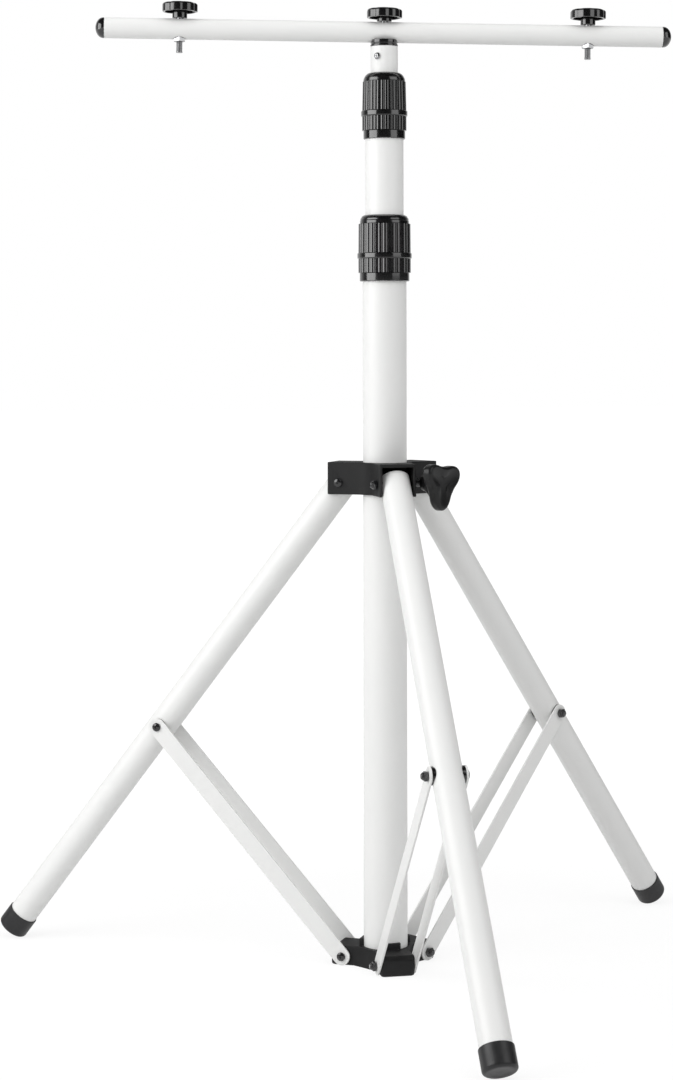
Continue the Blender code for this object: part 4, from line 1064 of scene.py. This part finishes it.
def lock_ring(word, top):
    """The turning ring: skirt, short ribs, bead, long ribs, then creased bands up to the nose."""
    size = LOCK_DIAMETERS[word]
    skirt = size["skirt"] / 2.0
    crest = size["ribs"] / 2.0
    bead = crest + BEAD_STEP
    collar = size["collar"] / 2.0
    low = -LOCK_BELOW
    high = LOCK_ABOVE
    skirt_top = low + SKIRT_HEIGHT
    ribs_top = skirt_top + SHORT_RIBS_HEIGHT
    bead_top = ribs_top + BEAD_HEIGHT
    band = high - LOCK_COLLAR_HEIGHT

    def ribs(radius, height, angle):
        short = skirt_top < height < ribs_top
        long = bead_top < height < band
        if radius < crest - 0.6 * RIB_DEPTH or not (short or long):
            return radius
        taper = size["taper"] * max(0.0, (height - bead_top) / (band - bead_top))
        rib = RIB_COUNT * (angle - size["rib_turn"]) / (2.0 * pi)
        across = abs(2.0 * ((rib + 0.5) % 1.0) - 1.0)
        down_flank = min(max(across - RIB_CREST, 0.0), RIB_FOOT - RIB_CREST)
        return radius - taper - down_flank * pi * crest / RIB_COUNT * tan(RIB_SLOPE)

    profile = [
        (skirt - 0.0006, low), (skirt - 0.0001, low + 0.0003), (skirt, low + 0.0008),
        (skirt, skirt_top - 0.0005), (skirt - 0.0003, skirt_top - RIB_END),
        (crest, skirt_top + RIB_END), (crest, (skirt_top + ribs_top) / 2.0), (crest, ribs_top - RIB_END),
        (crest - RIB_DEPTH * 0.2, ribs_top),
        *arc(bead - BEAD_EDGE, ribs_top + BEAD_EDGE, BEAD_EDGE, BEAD_EDGE, -80.0, 0.0, 4),
        *arc(bead - BEAD_EDGE, bead_top - BEAD_EDGE, BEAD_EDGE, BEAD_EDGE, 0.0, 80.0, 4),
        (crest - RIB_DEPTH * 0.2, bead_top),
        (crest, bead_top + RIB_END), (crest, (bead_top * 2.0 + band) / 3.0),
        (crest, (bead_top + band * 2.0) / 3.0), (crest, band - RIB_END),
    ]
    for drop, inset in size["nose_shape"]:
        profile.append((collar - inset, high - drop))
    cavity = crest - RIB_DEPTH - LOCK_WALL
    lip = size["held"] / 2.0 + SLIDE_PLAY
    skirt_bore = size["tube"] / 2.0 + SLIDE_PLAY
    profile += [
        (lip + 0.0004, high), (lip, high - 0.0004), (lip, high - LOCK_LIP),
        (cavity, high - LOCK_LIP - LOCK_CONE), (cavity, -GAP),
        (skirt_bore, -GAP), (skirt_bore, low),
    ]
    body = turned(profile, RIB_COUNT * RIB_STEPS, shape=ribs)
    lay(body, MAST_FRAME @ at(z=top), "black_plastic", word + "_lock_ring", crease=RIB_CREASE)


# Crossbar, saddle and knobs

def crossbar():
    """The crossbar with its stud holes, and its two domed end caps."""
    outer = BAR_DIAMETER / 2.0
    offsets = (-LAMP_OFFSET, 0.0, LAMP_OFFSET)
    rows = tube_rows(outer, BAR_WALL, -BAR_HALF_LENGTH, BAR_HALF_LENGTH, around(offsets, 0.0075, 8))
    body = laid(turned(rows, ROUND), ACROSS)
    nut_hole = LAMP_NUT_FLATS / 2.0 / cos(radians(30.0)) + PIN_PLAY
    steps = []
    for offset in offsets:
        lower = nut_hole if offset else STUD_BORE
        steps.append(cut(rod(STUD_BORE, 0.0, BAR_DIAMETER), at(offset)))
        steps.append(cut(rod(lower, -BAR_DIAMETER, 0.0), at(offset)))
    lay(carved("crossbar_piece", body, steps), BAR, "white_paint", "crossbar")

    dome = arc(0.0, GAP + CAP_RIM, outer, CAP_DOME, 4.0, 86.0, 14)
    spigot = CAP_SPIGOT_RADIUS
    profile = [
        (0.0, -CAP_SPIGOT), (spigot - 0.0008, -CAP_SPIGOT), (spigot, -CAP_SPIGOT + 0.0008),
        (spigot, GAP), (outer - 0.0002, GAP), (outer, GAP + 0.0002), (outer, GAP + CAP_RIM),
        *dome,
        (0.0, GAP + CAP_RIM + CAP_DOME),
    ]
    for word, sign in (("left", -1.0), ("right", 1.0)):
        end = BAR @ at(sign * BAR_HALF_LENGTH) @ about("Y", sign * radians(90.0))
        lay(turned(profile, ROUND, closed=False), end, "black_plastic", "end_cap_" + word)


def saddle():
    """A grooved plug in the mast's top, hollowed above to seat the crossbar, and its screw."""
    rim = SADDLE_DIAMETER / 2.0
    spigot = TOP_TUBE / 2.0 - TOP_WALL - GAP
    shoulder = TOP_TOP + GAP
    groove = shoulder + SADDLE_SEAT_DROP - SADDLE_GROOVE
    half_groove = SADDLE_GROOVE / 2.0
    top = shoulder + SADDLE_SEAT_DROP + GAP + SADDLE_LIP
    profile = [
        (0.0, TOP_TOP - SADDLE_SPIGOT), (spigot - 0.0008, TOP_TOP - SADDLE_SPIGOT),
        (spigot, TOP_TOP - SADDLE_SPIGOT + 0.0008), (spigot, shoulder),
        (rim - 0.0003, shoulder), (rim, shoulder + 0.0003),
        *arc(rim, groove + half_groove, SADDLE_GROOVE_DEPTH, -half_groove, 90.0, 270.0, 8),
        (rim, top - 0.0002), (rim - 0.0002, top), (0.0, top),
    ]
    to_bar = HEAD_FRAME.inverted() @ BAR
    trough = rod(BAR_DIAMETER / 2.0 + GAP, -SADDLE_DIAMETER, SADDLE_DIAMETER, ROUND)
    stud_way = rod(STUD_BORE, -STUD_REACH["middle"] - GAP, 0.0)
    screw_place = at(z=TOP_TOP - SADDLE_SCREW_DROP) @ about("Z", SADDLE_SCREW_TURN) @ TO_SIDE
    screw = SADDLE_SCREW_DIAMETER / 2.0
    screw_way = rod(screw + PIN_PLAY, spigot - SADDLE_SCREW_LENGTH, TOP_TUBE)
    steps = [cut(trough, to_bar @ ACROSS), cut(stud_way, to_bar), cut(screw_way, screw_place)]
    body = turned(profile, ROUND, closed=False)
    lay(carved("saddle_piece", body, steps), HEAD_FRAME, "black_plastic", "saddle")

    seat = TOP_TUBE / 2.0 + GAP
    tip = spigot - SADDLE_SCREW_LENGTH + GAP
    shape = [(0.0, tip), (screw * 0.8, tip), (screw, tip + 0.0004), (screw, seat)]
    shape += button(SADDLE_SCREW_HEAD / 2.0, seat, SADDLE_SCREW_HEAD_HEIGHT)
    head = turned(shape, SMALL_ROUND, closed=False)
    cuts = cross_recess(0.0012, 0.0046, seat + SADDLE_SCREW_HEAD_HEIGHT, 0.0013)
    mesh = carved("saddle_screw_piece", head, cuts)
    lay(mesh, HEAD_FRAME @ screw_place, "zinc_steel", "saddle_screw")


def knob(word):
    """A lobed knob, hollow underneath, on a round boss with a blind hole for its stud."""
    rim = KNOB_DIAMETER / 2.0
    boss = KNOB_BOSS_DIAMETER / 2.0
    bottom = KNOB_BOSS_DROP[word]
    top = bottom + KNOB_DISC_HEIGHT
    shoulder = KNOB_SHOULDER

    def lobes(radius, height, angle):
        dip = 0.5 - 0.5 * cos(KNOB_LOBES * angle)
        share = smooth_step(boss + 0.001, rim - shoulder, radius)
        return radius - KNOB_LOBE_DEPTH * share * dip ** 3

    inner = rim - KNOB_SKIRT_WALL
    profile = [
        (0.0, STUD_IN_KNOB + GAP),
        (STUD_BORE, STUD_IN_KNOB + GAP), (STUD_BORE, 0.0004), (STUD_BORE + 0.0004, 0.0),
        (boss - 0.0006, 0.0), (boss - 0.0001, 0.0002), (boss, 0.0007),
        (boss, bottom + KNOB_HOLLOW - 0.0008), (boss + 0.0008, bottom + KNOB_HOLLOW),
        (inner - 0.0008, bottom + KNOB_HOLLOW), (inner, bottom + KNOB_HOLLOW - 0.0008),
        (inner, bottom + 0.0003), (inner + 0.0003, bottom),
        (rim - 0.0006, bottom), (rim - 0.0001, bottom + 0.0002), (rim, bottom + 0.0007),
        (rim, top - shoulder),
        *arc(rim - shoulder, top - shoulder, shoulder, shoulder - KNOB_CROWN, 15.0, 90.0, 5),
        (rim * 0.62, top - KNOB_CROWN * 0.45), (rim * 0.36, top - KNOB_CROWN * 0.12), (0.0, top),
    ]
    return turned(profile, 16 * KNOB_LOBES, closed=False, shape=lobes)


def knobs():
    """The three knobs with their studs, and the nuts of the two lamp places."""
    radius = STUD_DIAMETER / 2.0
    seat = BAR_DIAMETER / 2.0 + GAP
    nut_low = -BAR_DIAMETER / 2.0 - LAMP_NUT_BELOW_BAR
    for word, offset in (("left", -LAMP_OFFSET), ("middle", 0.0), ("right", LAMP_OFFSET)):
        place = BAR @ at(offset)
        lay(knob(word), place @ at(z=seat), "black_plastic", "knob_" + word)
        low = -STUD_REACH[word]
        thread = (low + 0.0004, nut_low + LAMP_NUT_HEIGHT) if offset else (low + 0.0004, -seat)
        body = threaded_rod(radius, low, seat + STUD_IN_KNOB, *thread, STUD_PITCH)
        lay(body, place, "zinc_steel", "stud_" + word)
        if offset:
            side = nut_side(LAMP_NUT_FLATS, nut_low, nut_low + LAMP_NUT_HEIGHT)
            profile = [(STUD_BORE, nut_low), *side, (STUD_BORE, nut_low + LAMP_NUT_HEIGHT)]
            nut = turned(profile, SMALL_ROUND, shape=hexagon(LAMP_NUT_FLATS))
            lay(nut, place, "zinc_steel", "lamp_nut_" + word)


def hidden_sleeves():
    """The collets and bushes keep the shape of their solids and take the moulded finish."""
    for name in ("lower_collet", "upper_collet", "mid_guide", "top_guide"):
        node = frame["nodes"][name]
        for slot in node.material_slots:
            slot.material = FINISHES["matt_plastic"]


# Studio

def light_path(tree):
    """1 for camera rays, and 1 for the mirrored or bent rays that should see the plain background."""
    path = tree.nodes.new("ShaderNodeLightPath").outputs
    seen = math_node(tree, "MAXIMUM", path["Is Glossy Ray"], path["Is Transmission Ray"])
    return path["Is Camera Ray"], seen


def floor_material():
    """White to the camera and in reflections, keeping a faint shadow."""
    material = bpy.data.materials.new("studio_floor")
    material.use_nodes = True
    tree = material.node_tree
    tree.nodes.remove(tree.nodes["Principled BSDF"])
    camera, reflected = light_path(tree)
    paper = tree.nodes.new("ShaderNodeBsdfDiffuse")
    paper.inputs["Color"].default_value = FLOOR_COLOR
    glow = tree.nodes.new("ShaderNodeEmission")
    strength = math_node(tree, "MULTIPLY", camera, FLOOR_GLOW)
    in_gloss = math_node(tree, "MULTIPLY", reflected, FLOOR_IN_GLOSS)
    tree.links.new(math_node(tree, "ADD", strength, in_gloss), glow.inputs["Strength"])
    place = object_place(tree)
    length = tree.nodes.new("ShaderNodeVectorMath")
    length.operation = "LENGTH"
    tree.links.new(place, length.inputs[0])
    far = math_node(tree, "SUBTRACT", length.outputs["Value"], FLOOR_SHADOW_REACH)
    faded = math_node(tree, "MULTIPLY", far, FLOOR_FADE, clamp=True)
    spread = math_node(tree, "ADD", faded, FLOOR_GLOW_SHARE)
    near = math_node(tree, "MULTIPLY", camera, math_node(tree, "MINIMUM", spread, 1.0))
    share = math_node(tree, "MAXIMUM", near, reflected)
    mix = tree.nodes.new("ShaderNodeMixShader")
    tree.links.new(share, mix.inputs["Fac"])
    tree.links.new(paper.outputs["BSDF"], mix.inputs[1])
    tree.links.new(glow.outputs["Emission"], mix.inputs[2])
    tree.links.new(mix.outputs["Shader"], tree.nodes["Material Output"].inputs["Surface"])
    return material


def floor():
    body = block((-FLOOR_HALF, -FLOOR_HALF, -0.01), (FLOOR_HALF, FLOOR_HALF, 0.0))
    sheet = shown("studio_floor", to_mesh(body, "studio_floor"))
    sheet.data.materials.append(floor_material())


def studio_world():
    """White behind the stand, dark where the camera stands, and a plain fill for the paint."""
    world = bpy.data.worlds.new("studio")
    world.use_nodes = True
    tree = world.node_tree
    background = tree.nodes["Background"]
    camera, reflected = light_path(tree)
    direction = tree.nodes.new("ShaderNodeTexCoord").outputs["Generated"]
    parts = tree.nodes.new("ShaderNodeSeparateXYZ")
    tree.links.new(direction, parts.inputs["Vector"])
    backdrop = tree.nodes.new("ShaderNodeMapRange")
    tree.links.new(parts.outputs["Y"], backdrop.inputs["Value"])
    for label, value in (
        ("From Min", BACKDROP_START), ("From Max", BACKDROP_FULL),
        ("To Min", ROOM_LEVEL), ("To Max", BACKDROP_IN_GLOSS),
    ):
        backdrop.inputs[label].default_value = value
    in_gloss = math_node(tree, "MULTIPLY", reflected, backdrop.outputs["Result"])
    plain = math_node(tree, "MAXIMUM", camera, in_gloss)
    fill_rays = math_node(tree, "SUBTRACT", 1.0, math_node(tree, "MAXIMUM", camera, reflected))
    fill = math_node(tree, "MULTIPLY", fill_rays, FILL_LEVEL)
    tree.links.new(math_node(tree, "ADD", plain, fill), background.inputs["Strength"])
    background.inputs["Color"].default_value = (1.0, 1.0, 1.0, 1.0)
    bpy.context.scene.world = world


def softbox(name, turn, distance, height, width, tall, level, mirrored):
    """A soft box at a turn from the camera's side of the mast, aimed at the mast."""
    lamp = bpy.data.lights.new(name, "AREA")
    lamp.shape = "RECTANGLE"
    lamp.size = width
    lamp.size_y = tall
    lamp.energy = level * pi * width * tall
    box = shown(name, lamp)
    angle = CAMERA_SIDE + turn
    place = Vector((distance * sin(angle), -distance * cos(angle), height)) + MAST
    target = MAST + Vector((0.0, 0.0, SOFTBOX_TARGET))
    box.location = place
    box.rotation_euler = (place - target).to_track_quat("Z", "Y").to_euler()
    box.visible_glossy = mirrored


def camera():
    """The camera at the photograph's place, level, with the horizon above the frame's middle."""
    turn = about("Z", CAMERA_TURN)
    place = turn @ Vector((*CAMERA_OFFSET, 0.0)) + MAST
    lens = bpy.data.cameras.new("camera")
    lens.sensor_width = SENSOR
    lens.sensor_fit = "AUTO"
    lens.lens = LENS_IN_PIXELS / PHOTO_HEIGHT * SENSOR
    lens.shift_y = -(PHOTO_HEIGHT / 2.0 - HORIZON_ROW) / PHOTO_HEIGHT
    viewer = shown("camera", lens)
    level = at(place.x, place.y, CAMERA_HEIGHT) @ turn @ TO_SIDE
    viewer.matrix_world = level @ about("Z", CAMERA_ROLL)
    bpy.context.scene.camera = viewer
    return place


camera_place = camera()
CAMERA_SIDE = atan2(camera_place.x - MAST.x, MAST.y - camera_place.y)

mast_tubes()
leg_sides()
leg_collar()
foot()
clamp()
lock_ring("lower", OUTER_TOP)
lock_ring("upper", MIDDLE_TOP)
crossbar()
saddle()
knobs()
hidden_sleeves()
floor()
studio_world()
for name, values in SOFTBOXES.items():
    softbox(name, *values)
bpy.context.scene.view_settings.view_transform = "Standard"
